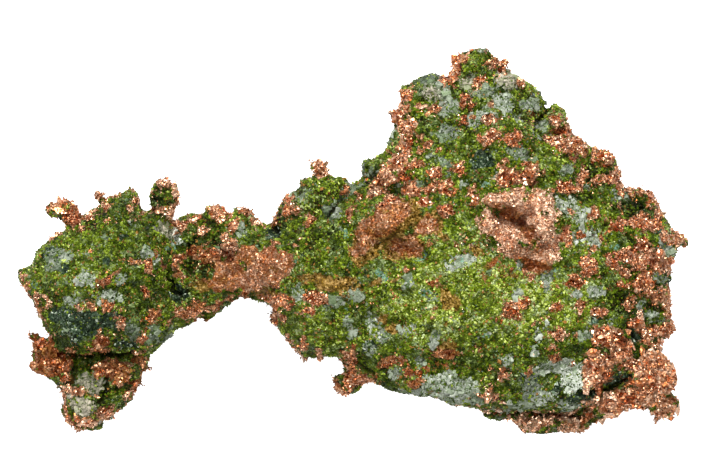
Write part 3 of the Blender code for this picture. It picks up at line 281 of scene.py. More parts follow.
# small spots of malachite and turquoise-blue copper silicate
malachiteAreas = [
    (-25.4, -0.7, 0.6, 0.5), (-10.8, -0.6, 0.9, 0.5), (-1.0, 1.2, 0.6, 0.5), (3.8, -5.1, 0.7, 0.7),
    (9.9, -7.2, 0.5, 0.4), (14.7, -2.5, 0.5, 0.3), (18.3, -13.3, 0.5, 0.4), (36.6, -0.6, 0.5, 0.5),
    (33.3, -11.0, 0.4, 0.3), (-44.2, -6.2, 0.6, 0.6), (-7.9, -9.9, 0.6, 0.3), (7.3, -5.4, 0.4, 0.4),
    (28.0, -3.8, 0.6, 0.3, 20), (36.9, 1.2, 0.4, 0.3), (18.3, 8.1, 0.5, 0.4), (-7.9, -3.1, 0.4, 0.4),
    (9.2, -2.0, 1.0, 0.7), (35.8, -0.6, 0.3, 0.3), (32.6, -1.4, 0.4, 0.4), (-0.9, 6.3, 0.4, 0.8, -20),
]

# patches of bare green inside or on top of the copper
greenAreas = [
    (-41.2, 4.1, 0.7, 0.5, -20), (-26.7, 6.2, 1.0, 1.2), (-20.4, -4.4, 1.2, 0.9),
    (3.4, -1.1, 0.9, 0.8), (28.3, 2.6, 0.8, 0.9), (-1.7, -19.9, 0.5, 0.7), (28.3, -25.5, 0.6, 0.6),
    (39.3, -15.9, 0.5, 0.6), (-20.8, 4.2, 0.5, 0.5), (-30.6, -18.2, 0.9, 0.9), (29.3, -0.9, 0.6, 0.8),
    (8.6, 3.9, 0.9, 0.6), (4.6, 4.0, 0.8, 0.5), (6.2, 6.6, 0.6, 0.3), (27.7, 19.0, 1.3, 0.7),
    (-38.2, -17.2, 1.3, 0.8),
]

# how pale or dark the green is: the last number runs from -1 dark to 1 pale
greenTones = [
    (17.0, -8.5, 13.0, 6.5, 5, 0.55), (14.5, -0.5, 5.0, 3.2, 0, 0.55), (8.0, -8.0, 7.0, 5.5, 0, 0.35),
    (27.0, -8.0, 7.0, 5.0, 0, 0.4), (33.6, 7.0, 4.0, 2.5, 0, -0.3), (39.8, 5.2, 3.2, 2.6, 0, -0.75),
    (39.5, -10.0, 3.0, 6.0, 0, -0.6), (-31.0, -9.0, 5.0, 5.0, 0, -0.4),
    (-33.0, 4.5, 5.5, 2.2, 0, -0.3), (-38.0, -1.0, 6.0, 5.0, 0, 0.15), (-26.7, 6.2, 1.4, 1.6, 0, -0.6),
    (-7.0, 1.0, 5.5, 6.0, 0, 0.25), (-6.0, -12.0, 4.5, 3.0, 0, 0.5), (1.0, -14.5, 4.0, 2.5, 0, 0.25),
    (4.0, -19.5, 4.0, 1.6, 0, -0.2), (24.6, 21.4, 2.2, 1.2, -30, 0.4), (28.2, 18.8, 1.6, 1.0, 0, 0.5),
    (25.5, 15.5, 3.5, 2.6, 0, 0.12), (12.0, 11.8, 3.5, 2.0, 0, 0.15), (32.5, 1.0, 4.5, 5.0, 0, 0.4),
    (25.0, -15.0, 8.0, 2.4, 0, -0.35), (-32.8, -22.0, 2.6, 2.4, 0, -0.2),
    (-38.2, -17.0, 1.6, 1.0, 0, -0.5), (-20.5, -4.4, 1.6, 1.2, 0, -0.2),
    (-40.4, -13.8, 2.4, 2.4, 0, -0.6), (33.6, -14.6, 2.4, 1.2, 0, -0.6),
    (26.8, 10.6, 2.4, 2.4, 0, 0.1), (-21.0, 0.4, 4.0, 2.0, 0, -0.5), (2.6, 10.6, 1.6, 1.2, 0, 0.2),
    (9.0, 17.0, 2.0, 4.0, 0, -0.1), (-18.0, -8.2, 3.0, 1.2, 20, -0.5),
    (41.0, -15.0, 4.0, 1.2, 0, -0.5), (19.0, 24.2, 2.0, 1.6, 0, -0.5), (-28.0, 0.0, 3.0, 4.0, 0, -0.2),
]

# narrow grooves that hold the darkest shadows, which painted shade darkens further: half width and depth,
# then the path
creases = {
    "under the head's ledge": (0.46, 1.5, [
        (-41.4, -15.6), (-39.6, -16.1), (-36.5, -16.2), (-33.0, -16.0), (-31.0, -15.8)]),
    "neck crease": (0.38, 0.6, [
        (-26.3, -3.4), (-25.7, -4.3), (-26.0, -5.2), (-25.1, -6.0), (-25.3, -6.9), (-24.2, -7.6)]),
    "neck furrow": (0.34, 0.6, [(-23.4, -0.2), (-22.6, -2.4), (-23.0, -4.2)]),
    "neck hollow": (0.4, 0.7, [(-19.8, 0.4), (-18.6, -0.9), (-17.0, -2.4)]),
    "boulder crack": (0.32, 0.9, [(26.9, 18.1), (26.6, 17.6), (25.9, 16.8), (25.2, 15.7)]),
    "above the lower ledge": (0.42, 1.0, [
        (18.6, -24.2), (21.5, -24.5), (24.5, -24.2), (28.0, -24.4), (32.0, -24.6)]),
    "under the mass": (0.4, 0.3, [(22.6, -2.7), (24.7, -3.5), (27.9, -3.6)]),
    "mass cave": (0.9, 0.12, [(19.6, 4.5), (21.0, 4.1), (22.6, 2.9)]),
    "mass gully": (0.6, 0.2, [(22.6, 2.9), (24.2, 1.0), (25.4, -0.8), (26.4, -2.4)]),
    "spur shadow": (0.4, 0.7, [(38.0, 1.0), (38.4, 0.2), (39.0, -0.6)]),
    "edge block shadow": (0.4, 0.8, [(38.0, -11.4), (38.4, -12.6), (39.4, -13.6)]),
    "foil gully": (0.45, 0.9, [(31.0, -21.0), (33.6, -20.9), (36.4, -20.2), (38.4, -18.9)]),
    "hump shadow": (0.4, 0.2, [(5.4, -1.6), (7.4, -1.8), (9.4, -0.9), (10.6, 0.6)]),
    "brow crease": (0.35, 0.7, [(-1.9, 8.4), (-1.4, 6.6), (-2.4, 5.0), (-3.8, 3.4)]),
    "notch crease": (0.4, 0.5, [(-11.8, 2.2), (-10.8, 1.4), (-10.0, 0.4)]),
    "tail seam": (0.35, 0.6, [(-34.4, -19.0), (-34.8, -21.0), (-35.6, -22.6)]),
    "hook notch": (0.4, 0.6, [(0.4, -17.2), (1.6, -17.8), (3.2, -19.0)]),
}
# round ones: (x, y, half width, depth)
pits = [
    (2.4, 8.8, 0.6, 1.0), (-23.2, -6.9, 0.6, 0.7), (-21.4, -0.3, 0.5, 0.6), (-19.4, -3.4, 0.4, 0.5),
    (-17.5, -2.3, 0.55, 0.9), (-10.9, 2.0, 0.5, 0.6), (33.0, 0.7, 0.35, 0.5), (28.7, 15.2, 0.6, 0.8),
    (-24.0, -6.6, 0.5, 0.7), (40.2, 4.6, 0.5, 0.7), (36.2, 10.6, 0.5, 0.6),
]

# places that bulge beyond the CAD solid's planes: (x, y, radius, height)
bulges = [
    (-24.9, 6.4, 1.5, 0.7), (-26.0, 8.7, 1.6, 0.6), (-35.6, 6.6, 0.8, 0.5), (-10.6, 4.6, 1.6, 0.5),
    (1.6, 10.8, 1.2, 0.4), (-30.9, -22.0, 1.6, 0.2), (-4.6, 10.4, 1.0, 0.4), (45.2, -22.6, 1.2, 0.3),
    (29.0, 17.6, 1.4, 0.2), (40.0, 5.8, 1.8, 0.2), (-16.0, 4.2, 1.0, 0.3), (-39.4, 4.9, 0.8, 0.5),
    (-30.1, 6.2, 1.1, 0.5), (-19.0, 4.6, 0.8, 0.4), (-1.6, -16.9, 0.8, 0.4), (-46.4, -4.8, 1.2, 0.4),
    (-36.0, -25.9, 1.2, 0.4), (43.6, -13.0, 1.0, 0.4), (25.0, -26.6, 2.0, 0.4),
    (28.4, -26.6, 2.0, 0.4), (18.6, -23.9, 1.2, 0.4),
]
# and places that fall short of them
hollows = [
    (-43.3, 4.8, 1.0, 1.0), (-20.8, -11.3, 1.4, 0.9), (-29.2, -19.0, 0.8, 0.7),
    (-33.2, -24.9, 0.9, 0.7), (-21.4, 4.7, 0.8, 0.5), (-17.2, 4.4, 0.6, 0.4), (-12.0, -10.0, 0.9, 0.6),
    (-1.8, -18.0, 0.6, 0.5), (38.6, -24.7, 2.6, 1.0), (45.7, -20.2, 1.2, 0.6), (44.3, -15.6, 1.0, 0.6),
    (45.3, 2.0, 1.1, 0.8), (38.0, 8.6, 1.0, 0.6), (42.7, 6.0, 1.0, 0.3), (33.0, 14.0, 1.1, 0.6),
    (30.4, 17.0, 1.0, 0.5), (22.6, -26.0, 0.9, 0.6), (10.0, -22.1, 1.8, 0.4), (-0.3, -21.8, 1.2, 0.4),
]

# where the crust stands in round knobs with gaps between them
knobblyAreas = [
    (-5.5, 4.0, 6.0, 5.5), (2.0, 10.2, 3.5, 2.4), (39.5, 5.5, 4.0, 3.0), (25.0, 19.0, 4.0, 4.0),
    (-26.7, 6.2, 2.0, 2.5), (-21.0, 0.0, 5.0, 5.0), (40.0, -9.0, 4.0, 7.0), (-35.0, -20.0, 7.0, 5.0),
    (13.0, 19.0, 6.0, 6.0), (32.0, 10.0, 5.0, 4.0), (-38.0, 3.0, 4.0, 3.0), (0.0, -18.0, 4.0, 3.0),
]

# where copper lies in crinkled sheets; the last number is the way the crinkles run
crinkledAreas = [
    (41.5, -17.5, 4.5, 3.5, 0, -52), (36.0, -13.2, 3.0, 2.0, -15, -30), (40.5, -22.5, 5.5, 2.0, 0, 18),
    (34.5, -22.8, 2.6, 1.4, 0, 30), (26.0, -25.6, 4.0, 1.2, 0, 5), (31.4, -25.6, 2.0, 1.2, 0, 60),
    (23.4, 1.6, 3.6, 2.6, -40, -38), (26.6, 3.6, 2.6, 3.2, 0, -60), (21.6, 5.6, 3.0, 1.2, 8, 10),
    (-43.4, -15.6, 2.0, 2.6, 0, 40), (43.5, -8.4, 1.6, 3.0, 0, 80), (31.3, 13.0, 2.8, 1.4, -30, -35),
    (5.0, 9.2, 3.4, 1.6, 10, 35), (7.2, 17.0, 1.4, 5.0, 0, 75), (40.0, -1.2, 3.6, 1.6, -8, -15),
]


# noise, in arrays of points

def hashed(nodes, seed):
    # a steady random number from 0 to 1 for each lattice node
    mixed = nodes[..., 0] * 73856093 ^ nodes[..., 1] * 19349663 ^ nodes[..., 2] * 83492791 ^ seed * 6700417
    mixed = (mixed ^ (mixed >> 13)) & 0x7FFFFFFF
    mixed = (mixed * 1274126177) & 0x7FFFFFFF
    mixed = ((mixed ^ (mixed >> 16)) * 668265263) & 0x7FFFFFFF
    return (mixed >> 7 & 0xFFFF) / 65535.0


def latticeCells(points, width):
    # each point's place in a lattice of cells, and the cell that it is in
    cells = points / width + 500.0
    return cells, np.floor(cells).astype(np.int64)


def swell(points, width, seed):
    # smooth noise from -1 to 1 whose lumps are about as wide as width
    cells, base = latticeCells(points, width)
    part = cells - base
    part = part * part * (3 - 2 * part)
    total = np.zeros(len(points))
    for corner in product((0, 1), repeat=3):
        share = np.prod(np.where(corner, part, 1 - part), axis=1)
        total += share * (2 * hashed(base + np.array(corner), seed) - 1)
    return total


def facets(points, width, seed):
    # a crazed surface of small tilted planes, and how far each point is from its plane's middle
    cells, base = latticeCells(points, width)
    nearest = np.full(len(points), 9.0)
    height = np.zeros(len(points))
    for corner in product((-1, 0, 1), repeat=3):
        node = base + np.array(corner)
        seat = node + np.stack([hashed(node, seed + k) for k in range(3)], axis=1)
        gap = cells - seat
        far = np.linalg.norm(gap, axis=1)
        tilt = np.stack([2 * hashed(node, seed + 3 + k) - 1 for k in range(3)], axis=1)
        plane = (gap * tilt).sum(1) + 0.8 * (hashed(node, seed + 6) - 0.5)
        closer = far < nearest
        nearest = np.where(closer, far, nearest)
        height = np.where(closer, plane, height)
    return height, nearest


def turned(x, y, degrees):
    # the distances along and across a direction
    angle = radians(degrees)
    return x * np.cos(angle) + y * np.sin(angle), y * np.cos(angle) - x * np.sin(angle)


def folds(points, width, turn, seed):
    # long ridges and furrows that run along one direction, -1 to 1
    along, across = turned(points[:, 0], points[:, 1], turn)
    stretched = np.stack([along / 4.5, across, points[:, 2] / 2], axis=1)
    return 1 - 2.6 * np.abs(swell(stretched, width, seed))


def smoothStep(low, high, value):
    part = np.clip((value - low) / (high - low), 0, 1)
    return part * part * (3 - 2 * part)


def areaShare(spots, area, edge):
    # 1 inside an area, 0 outside, 0.5 on its border
    x, y, length, width, turn = (*area, 0)[:5]
    along, across = turned(spots[:, 0] - x, spots[:, 1] - y, turn)
    reach = np.hypot(along / length, across / width)
    return np.clip((1 - reach) * min(length, width) / edge + 0.5, 0, 1)


def strongest(spots, areas, edge):
    share = np.zeros(len(spots))
    for area in areas:
        share = np.maximum(share, areaShare(spots, area, edge))
    return share


def alongPath(spots, path, half):
    # 1 on a path of straight stretches, 0 from the half width outwards
    near = np.full(len(spots), 9.0)
    for first, last in zip(path[:-1], path[1:]):
        start, run = np.array(first), np.array(last) - np.array(first)
        part = np.clip(((spots - start) @ run) / (run @ run), 0, 1)
        near = np.minimum(near, np.linalg.norm(spots - start - part[:, None] * run, axis=1))
    return smoothStep(half, 0.3 * half, near)


mineralSettings = {
    "wander": 0.5,  # how far whole patches bend out of their areas, in mm
    "edge": 1.7,  # how far a patch thins out over its border, in mm
    "softEdge": 1.4,  # the same for stain and chlorite
    "breakUp": 0.62,  # how strongly it breaks into islands and strays there
    "plainCopper": {"size": 0.5, "red": 0.4, "sandy": 0, "tarnish": 0.1},
    "copperBehind": 0.02,  # more or less of each on the side that rests
    "quartzBehind": -0.10,
    "stainBehind": -0.12,
    "darkBehind": -0.10,
}


def brokenUp(points, seed):
    rough = 0.55 * swell(points, 1.9, seed) + 0.5 * swell(points, 0.95, seed + 1)
    return rough + 0.4 * swell(points, 0.48, seed + 2)


def crisp(field):
    return smoothStep(0.44, 0.56, field)


def copperLooks(spots, edge):
    # the share of copper, and the looks of the region that is strongest at each spot
    field, plain = np.zeros(len(spots)), mineralSettings["plainCopper"]
    looks = {label: np.full(len(spots), float(value)) for label, value in plain.items()}
    for region in copperAreas.values():
        share = strongest(spots, region["areas"], edge)
        wins = share > field
        field = np.maximum(field, share)
        for label, value in plain.items():
            looks[label] = np.where(wins, region.get(label, value), looks[label])
    return field, looks


def mineralsAt(points, facing):
    # fields run from 0 to 1 with a patch where they pass a half; shares are the patches themselves
    s = mineralSettings
    bend = np.stack([swell(points, 1.8, 11), swell(points, 1.8, 13)], axis=1)
    spots = points[:, :2] + s["wander"] * bend
    behind = smoothStep(0.05, -0.45, facing[:, 2])

    def blended(front, back):
        return front * (1 - behind) + back * behind

    field, looks = copperLooks(spots, s["edge"])
    oxide = strongest(spots, oxideAreas, 0.9)
    sandy, tarnish = np.maximum(looks["sandy"], oxide), np.maximum(looks["tarnish"], oxide)
    red = np.maximum(looks["red"], 0.9 * oxide) + 0.22 * swell(points, 1.8, 31)
    green = strongest(spots, greenAreas, 0.8)
    ragged = brokenUp(points, 15)
    broad = 0.5 + s["copperBehind"] + 0.75 * swell(points, 5.0, 21) + 0.5 * ragged - 0.18
    copperField = blended(field * (1 - 0.85 * green) + s["breakUp"] * ragged, broad)
    copper = crisp(copperField)

    pale, white = np.zeros(len(points)), np.zeros(len(points))
    for area in quartzAreas:
        share = areaShare(spots, area, s["edge"])
        white = np.where(share > pale, area[5], white)
        pale = np.maximum(pale, share)
    ragged = brokenUp(points, 35)
    other = 0.5 + s["quartzBehind"] + 0.75 * swell(points, 4.0, 23) + 0.4 * ragged - 0.15
    quartzField = blended(pale * (1 - green) + s["breakUp"] * ragged, other) * (1 - copper)

    ragged = brokenUp(points, 65)
    third = 0.75 * swell(points, 4.2, 25) + 0.3 * ragged
    stainField = strongest(spots, stainAreas, s["softEdge"]) + 0.3 * ragged
    stainField = blended(stainField, 0.35 + s["stainBehind"] + third)
    darkField = strongest(spots, chloriteAreas, s["softEdge"]) + 0.5 * brokenUp(points, 75)
    darkField = blended(darkField, 0.35 + s["darkBehind"] - third)
    malachite = strongest(spots, malachiteAreas, 0.7) - 0.08 + 0.5 * brokenUp(points, 85)
    malachite *= (1 - behind) * (1 - copper)
    tone = np.zeros(len(points))
    for area in greenTones:
        tone += area[5] * smoothStep(0, 1, areaShare(points[:, :2], area, 3.5))

    fields = {"copper": copperField, "quartz": quartzField, "stain": stainField, "dark": darkField,
              "malachite": malachite}
    fields = {label: np.clip(values, 0, 1) for label, values in fields.items()}
    shares = {
        "copper": copper, "quartz": crisp(quartzField), "stain": smoothStep(0.3, 0.7, stainField),
        "dark": crisp(darkField), "sandy": sandy * (1 - behind), "size": looks["size"],
        "red": np.clip(red, 0, 1), "white": white,
        "tarnish": np.clip(tarnish + 0.3 * behind + 0.3 * swell(points, 1.3, 33), -0.5, 1),
        "tone": np.clip(tone * (1 - behind) - 0.25 * behind, -1, 1),
        "warm": strongest(spots, warmAreas, 1.0) * (1 - behind)}
    return shares, fields


# the skin is the CAD solid with the relief of its minerals
skinSettings = {
    "voxel": 0.257,
    "smoothing": 3,
    "shrink": 0.10,  # leaves room for the grains that stand on it
    "epidoteRelief": 0.18,
    "knobRelief": 0.33,
    "copperRelief": 0.62,
    "copperStep": 0.18,  # copper stands this far proud of the crust
    "quartzRelief": 0.22,
    "foldRelief": 0.42,
    "lumpRelief": 0.30,
    "lump": (1.15, 66),  # width and seed of the lumps, whose gaps also get painted shade on the skin and on the green grains
    "rimDraw": 0.25,  # bare copper is drawn in at the rim, so the sprigs stand clear of it
    "painted": ("tone", "white", "warm", "red", "sandy", "tarnish"),
}


def boxLimits():
    return np.array(cadBox[0]) / mm, np.array(cadBox[1]) / mm


def newObject(name, data):
    made = bpy.data.objects.new(name, data)
    bpy.context.scene.collection.objects.link(made)
    return made


def arraysOf(mesh):
    count = len(mesh.vertices)
    places, facing = np.zeros(count * 3), np.zeros(count * 3)
    mesh.vertices.foreach_get("co", places)
    mesh.vertex_normals.foreach_get("vector", facing)
    return places.reshape(-1, 3) / mm, facing.reshape(-1, 3)


def setAttribute(mesh, name, values):
    layer = mesh.attributes.new(name, "FLOAT", "POINT")
    layer.data.foreach_set("value", values.astype(np.float32))


def finerCopy(source, name, voxel, smoothing):
    # a copy of the CAD solid on an even, fine grid
    copy = newObject(name, source.data.copy())
    grid = copy.modifiers.new("even grid", "REMESH")
    grid.mode = "VOXEL"
    grid.voxel_size = voxel * mm
    soften = copy.modifiers.new("soften steps", "SMOOTH")
    soften.iterations = smoothing
    bpy.context.view_layer.update()
    shaped = bpy.data.meshes.new_from_object(copy.evaluated_get(bpy.context.evaluated_depsgraph_get()))
    copy.modifiers.clear()
    copy.data = shaped
    return copy


def grooves(points, facing):
    # how deep the named creases and pits cut into the surface that faces up
    wander = np.stack([swell(points, 1.1, 43), swell(points, 1.1, 44)], axis=1)
    spots = points[:, :2] + 0.22 * wander
    depth = np.zeros(len(points))
    for half, deep, path in creases.values():
        depth = np.maximum(depth, deep * alongPath(spots, path, half))
    for x, y, half, deep in pits:
        reach = np.hypot(spots[:, 0] - x, spots[:, 1] - y)
        depth = np.maximum(depth, deep * smoothStep(half, 0.2 * half, reach))
    return depth * smoothStep(-0.1, 0.2, facing[:, 2]) * smoothStep(0.5, 2.0, points[:, 2])


def crinkledFolds(points):
    crinkled = np.zeros(len(points))
    for *area, way in crinkledAreas:
        share = areaShare(points[:, :2], area, 1.5)
        crinkled += share * (0.7 * folds(points, 0.9, way, 47) + 0.4 * folds(points, 0.45, way + 15, 48))
    return crinkled


def reliefAt(points, facing, minerals):
    # how far the skin is lifted off the solid, and a mask of painted shade for its dips, grooves and the
    # gaps between knobs and lumps
    s = skinSettings
    copper, quartz, stain = minerals["copper"], minerals["quartz"], minerals["stain"]
    crumple, _ = facets(points, 2.1, 41)
    coarse, _ = facets(points, 1.0, 45)
    fine, _ = facets(points, 0.55, 51)
    grainy, gap = facets(points, 0.7, 61)
    _, knobGap = facets(points + 0.4 * swell(points, 1.2, 62)[:, None], 2.3, 63)
    _, lumpGap = facets(points, *s["lump"])
    knobbly = 0.35 + 0.65 * strongest(points[:, :2], knobblyAreas, 1.5)
    knobs = 0.25 - smoothStep(0.30, 0.75, knobGap) * knobbly
    plain = np.clip(1 - copper - quartz, 0, 1)

    sheet = s["copperRelief"] * (0.45 * crumple + 0.35 * coarse + 0.25 * fine)
    sheet *= (0.35 + minerals["size"]) * (1 - 0.6 * minerals["sandy"])
    sheet += s["foldRelief"] * crinkledFolds(points)
    lift = copper * (s["copperStep"] + sheet) - s["shrink"]
    lift += quartz * s["quartzRelief"] * (0.5 * crumple + 0.5 * coarse + 0.3 * swell(points, 0.6, 71))
    lift += plain * s["epidoteRelief"] * (0.5 - gap + 0.2 * grainy + 0.6 * swell(points, 1.4, 72))
    lift += plain * s["lumpRelief"] * (0.45 - lumpGap)
    lift *= 1 - 0.6 * stain
    lift -= s["rimDraw"] * copper * smoothStep(0.6, 0.2, np.abs(facing[:, 2]))
    lift += np.clip(1 - copper - 0.7 * stain, 0, 1) * s["knobRelief"] * knobs
    for sign, places in ((1, bulges), (-1, hollows)):
        for x, y, radius, height in places:
            away = (points[:, 0] - x) ** 2 + (points[:, 1] - y) ** 2
            lift += sign * height * np.exp(-away / radius ** 2)

    # painted shade: darker in the gaps between knobs and lumps, in the low parts of the copper sheets and
    # in the grooves
    crustPaintedShade = plain * smoothStep(0.1, -0.75, knobs - 0.3 * swell(points, 0.8, 73))
    crustPaintedShade += 0.5 * plain * smoothStep(0.52, 0.80, lumpGap)
    copperPaintedShade = copper * (1 - 0.5 * minerals["sandy"]) * smoothStep(0.10, -0.22, sheet)
    deep = grooves(points, facing)
    return lift - deep, np.clip(crustPaintedShade + copperPaintedShade + smoothStep(0.1, 0.7, deep), 0, 1)


def splitSkin(mesh, upper, name):
    # the part of the skin that faces up, or the rest, as a mesh of its own
    normals = np.zeros(len(mesh.polygons) * 3)
    mesh.polygons.foreach_get("normal", normals)
    kept = (normals.reshape(-1, 3)[:, 2] > 0.0) == upper
    part = mesh.copy()
    part.name = name
    editing = bmesh.new()
    editing.from_mesh(part)
    editing.faces.ensure_lookup_table()
    bmesh.ops.delete(editing, geom=[editing.faces[k] for k in np.flatnonzero(~kept)], context="FACES")
    editing.to_mesh(part)
    editing.free()
    print(name, len(part.polygons) * 2, "triangles")
    return newObject(name, part)


def buildSkin():
    s = skinSettings
    skin = finerCopy(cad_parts["copper_nugget"], "wholeSkin", s["voxel"], s["smoothing"])
    points, facing = arraysOf(skin.data)
    minerals, fields = mineralsAt(points, facing)
    lift, paintedShadeMask = reliefAt(points, facing, minerals)
    lift *= smoothStep(0.0, 0.5, points[:, 2])  # the resting flats stay flat
    moved = np.clip(points + facing * lift[:, None], *boxLimits())
    skin.data.vertices.foreach_set("co", (moved * mm).ravel())
    skin.data.update()
    for name, values in fields.items():
        setAttribute(skin.data, name, values)
    for name in s["painted"]:
        setAttribute(skin.data, name, minerals[name])
    # the mask of painted shade, which the skin material multiplies in
    setAttribute(skin.data, "paintedShade", paintedShadeMask)
    # copper keeps its hackly facets, the rest of the crust is shaded smooth
    owners = np.zeros(len(skin.data.loops), np.int64)
    skin.data.loops.foreach_get("vertex_index", owners)
    starts = np.zeros(len(skin.data.polygons), np.int64)
    skin.data.polygons.foreach_get("loop_start", starts)
    skin.data.polygons.foreach_set("use_smooth", minerals["copper"][owners[starts]] < 0.5)
    return skin


skin = buildSkin()
skinTop = splitSkin(skin.data, True, "mineralSkin")
skinUnder = splitSkin(skin.data, False, "mineralSkinUnder")


# each kind of grain or crystal is one joined mesh of these
grainShapes = {
    "block": {
        "corners": [(-1, -1, -1), (1, -1, -1), (1, 1, -1), (-1, 1, -1),
                    (-1, -1, 1), (1, -1, 1), (1, 1, 1), (-1, 1, 1)],
        "faces": [(0, 3, 2, 1), (4, 5, 6, 7), (0, 1, 5, 4), (1, 2, 6, 5), (2, 3, 7, 6), (3, 0, 4, 7)]},
    "bead": {
        "corners": [(1, 0, 0), (-1, 0, 0), (0, 1, 0), (0, -1, 0), (0, 0, 1), (0, 0, -1)],
        "faces": [(0, 2, 4), (2, 1, 4), (1, 3, 4), (3, 0, 4), (2, 0, 5), (1, 2, 5), (3, 1, 5), (0, 3, 5)]},
    "flake": {
        "corners": [(1, 0, 0.2), (0.3, 0.95, -0.2), (-0.8, 0.6, 0.2), (-0.8, -0.6, -0.2), (0.3, -0.95, 0.2),
                    (0, 0, 0.8), (0, 0, -0.8)],
        "faces": [(0, 1, 5), (1, 2, 5), (2, 3, 5), (3, 4, 5), (4, 0, 5),
                  (1, 0, 6), (2, 1, 6), (3, 2, 6), (4, 3, 6), (0, 4, 6)]},
    "shard": {
        "corners": [(1, 0, -0.4), (-0.6, 0.9, -0.4), (-0.6, -0.9, -0.4), (0, 0, 1)],
        "faces": [(0, 2, 1), (0, 1, 3), (1, 2, 3), (2, 0, 3)]},
}


def sampleSkin(count, rng):
    # points spread evenly over the skin, with the way it faces there
    mesh = skin.data
    mesh.calc_loop_triangles()
    corners = np.zeros(len(mesh.loop_triangles) * 3, np.int64)
    mesh.loop_triangles.foreach_get("vertices", corners)
    corners = corners.reshape(-1, 3)
    points, facing = arraysOf(mesh)
    a, b, c = (points[corners[:, k]] for k in range(3))
    areas = np.linalg.norm(np.cross(b - a, c - a), axis=1)
    picked = rng.choice(len(corners), count, p=areas / areas.sum())
    u, v = rng.random((2, count))
    fold = u + v > 1
    u, v = np.where(fold, 1 - u, u)[:, None], np.where(fold, 1 - v, v)[:, None]
    spots = a[picked] + u * (b - a)[picked] + v * (c - a)[picked]
    return spots, facing[corners[picked, 0]]


def unit(vectors):
    return vectors / np.linalg.norm(vectors, axis=-1, keepdims=True).clip(1e-9)


def grainCloud(spots, facing, sizes, shape, s, rng):
    # the corners of one grain at each spot, each jittered and turned its own way
    corners = np.array(shape["corners"], float)
    count, each = len(spots), len(corners)
    up = unit(facing + rng.normal(size=(count, 3)) * s["lean"])
    side = unit(np.cross(up, rng.normal(size=(count, 3))))
    other = np.cross(up, side)
    local = corners[None] * (1 + rng.uniform(-s["jitter"], s["jitter"], (count, each, 3)))
    local *= 0.5 * sizes[:, None, None] * (s["stretch"] * rng.uniform(0.75, 1.25, (count, 3)))[:, None, :]
    middle = spots + facing * (sizes * s["rise"])[:, None]
    flat = middle[:, None] + local[..., 0:1] * side[:, None] + local[..., 1:2] * other[:, None]
    return flat + local[..., 2:3] * up[:, None]


def plantGrains(name, spots, facing, sizes, kind, s, rng, tones):
    # grains of the shapes that kind numbers, without those that would leave the CAD box; tones
    # gives their looks from the numbers of the spots that are left
    low, high = boxLimits()
    points, faces, owners, start = [], [], [], 0
    for number, shapeName in enumerate(s["shapes"]):
        picked, shape = np.flatnonzero(kind == number), grainShapes[shapeName]
        placed = grainCloud(spots[picked], facing[picked], sizes[picked], shape, s, rng)
        fits = ((placed >= low) & (placed <= high)).all(axis=(1, 2))
        placed = placed[fits]
        count, each = placed.shape[:2]
        steps = start + each * np.arange(count)
        shapeFaces = np.array(shape["faces"])
        faces += (shapeFaces[None] + steps[:, None, None]).reshape(-1, shapeFaces.shape[1]).tolist()
        points.append(placed.reshape(-1, 3))
        owners.append((picked[fits], each))
        start += count * each
    order = np.concatenate([numbers for numbers, _ in owners])
    corners = np.concatenate([np.full(len(numbers), each) for numbers, each in owners])
    mesh = bpy.data.meshes.new(name)
    mesh.from_pydata(np.vstack(points) * mm, [], faces)
    for label, values in tones(order).items():
        setAttribute(mesh, label, np.repeat(values, corners))
    print(name, len(order), "grains,", sum(len(face) - 2 for face in faces), "triangles")
    return newObject(name, mesh)


def growGrains(name, s, chance, tones):
    # chance and tones say, from the minerals at a spot, if a grain stands there and its look
    rng = np.random.default_rng(s["seed"])
    spots, facing = sampleSkin(s["tries"], rng)
    minerals, fields = mineralsAt(spots, facing)
    minerals["near copper"] = fields["copper"]
    kept = rng.random(len(spots)) < chance(minerals, spots, facing)
    kept &= spots[:, 2] > s["clearance"]
    kept &= grooves(spots, facing) < 0.25
    spots, facing = spots[kept], facing[kept]
    minerals = {label: values[kept] for label, values in minerals.items()}
    size = s["size"] * (minerals["size"] if s.get("asCopper") else 1)
    size = size * np.exp(rng.normal(0, s["spread"], len(spots)))
    kind = rng.choice(len(s["shapes"]), len(spots), p=list(s["shapes"].values()))

    def looks(order):
        return {label: values[order] for label, values in tones(minerals, spots, rng).items()}

    return plantGrains(name, spots, facing, size, kind, s, rng, looks)


def facingUp(facing, low=-0.1, high=0.25):
    return smoothStep(low, high, facing[:, 2])


def varied(values, spread, rng):
    # values from 0 to 1 that differ from grain to grain
    return np.clip(values + rng.normal(0, spread, len(values)), 0, 1)


def crustShare(minerals):
    return np.clip(1 - minerals["copper"] - minerals["quartz"] - minerals["stain"] - minerals["dark"], 0, 1)


# For each kind: seed, how many spots are tried, the least height over the ground, the shapes and
# their shares, the stretch along three axes, how uneven, tilted and raised a grain is, its width
# and how much that varies.
epidoteSettings = {
    "seed": 3, "tries": 104000, "clearance": 0.6, "shapes": {"bead": 0.7, "shard": 0.3},
    "stretch": (0.9, 1.25, 0.8), "jitter": 0.28, "lean": 0.8, "rise": 0.02, "size": 0.36, "spread": 0.26,
}


def epidoteFront(minerals, spots, facing):
    share = 0.85 * crustShare(minerals) + 0.18 * minerals["quartz"] + 0.12 * minerals["dark"]
    return share * facingUp(facing)


def epidoteBack(minerals, spots, facing):
    return 0.45 * crustShare(minerals) * facingUp(facing, 0.2, -0.1)


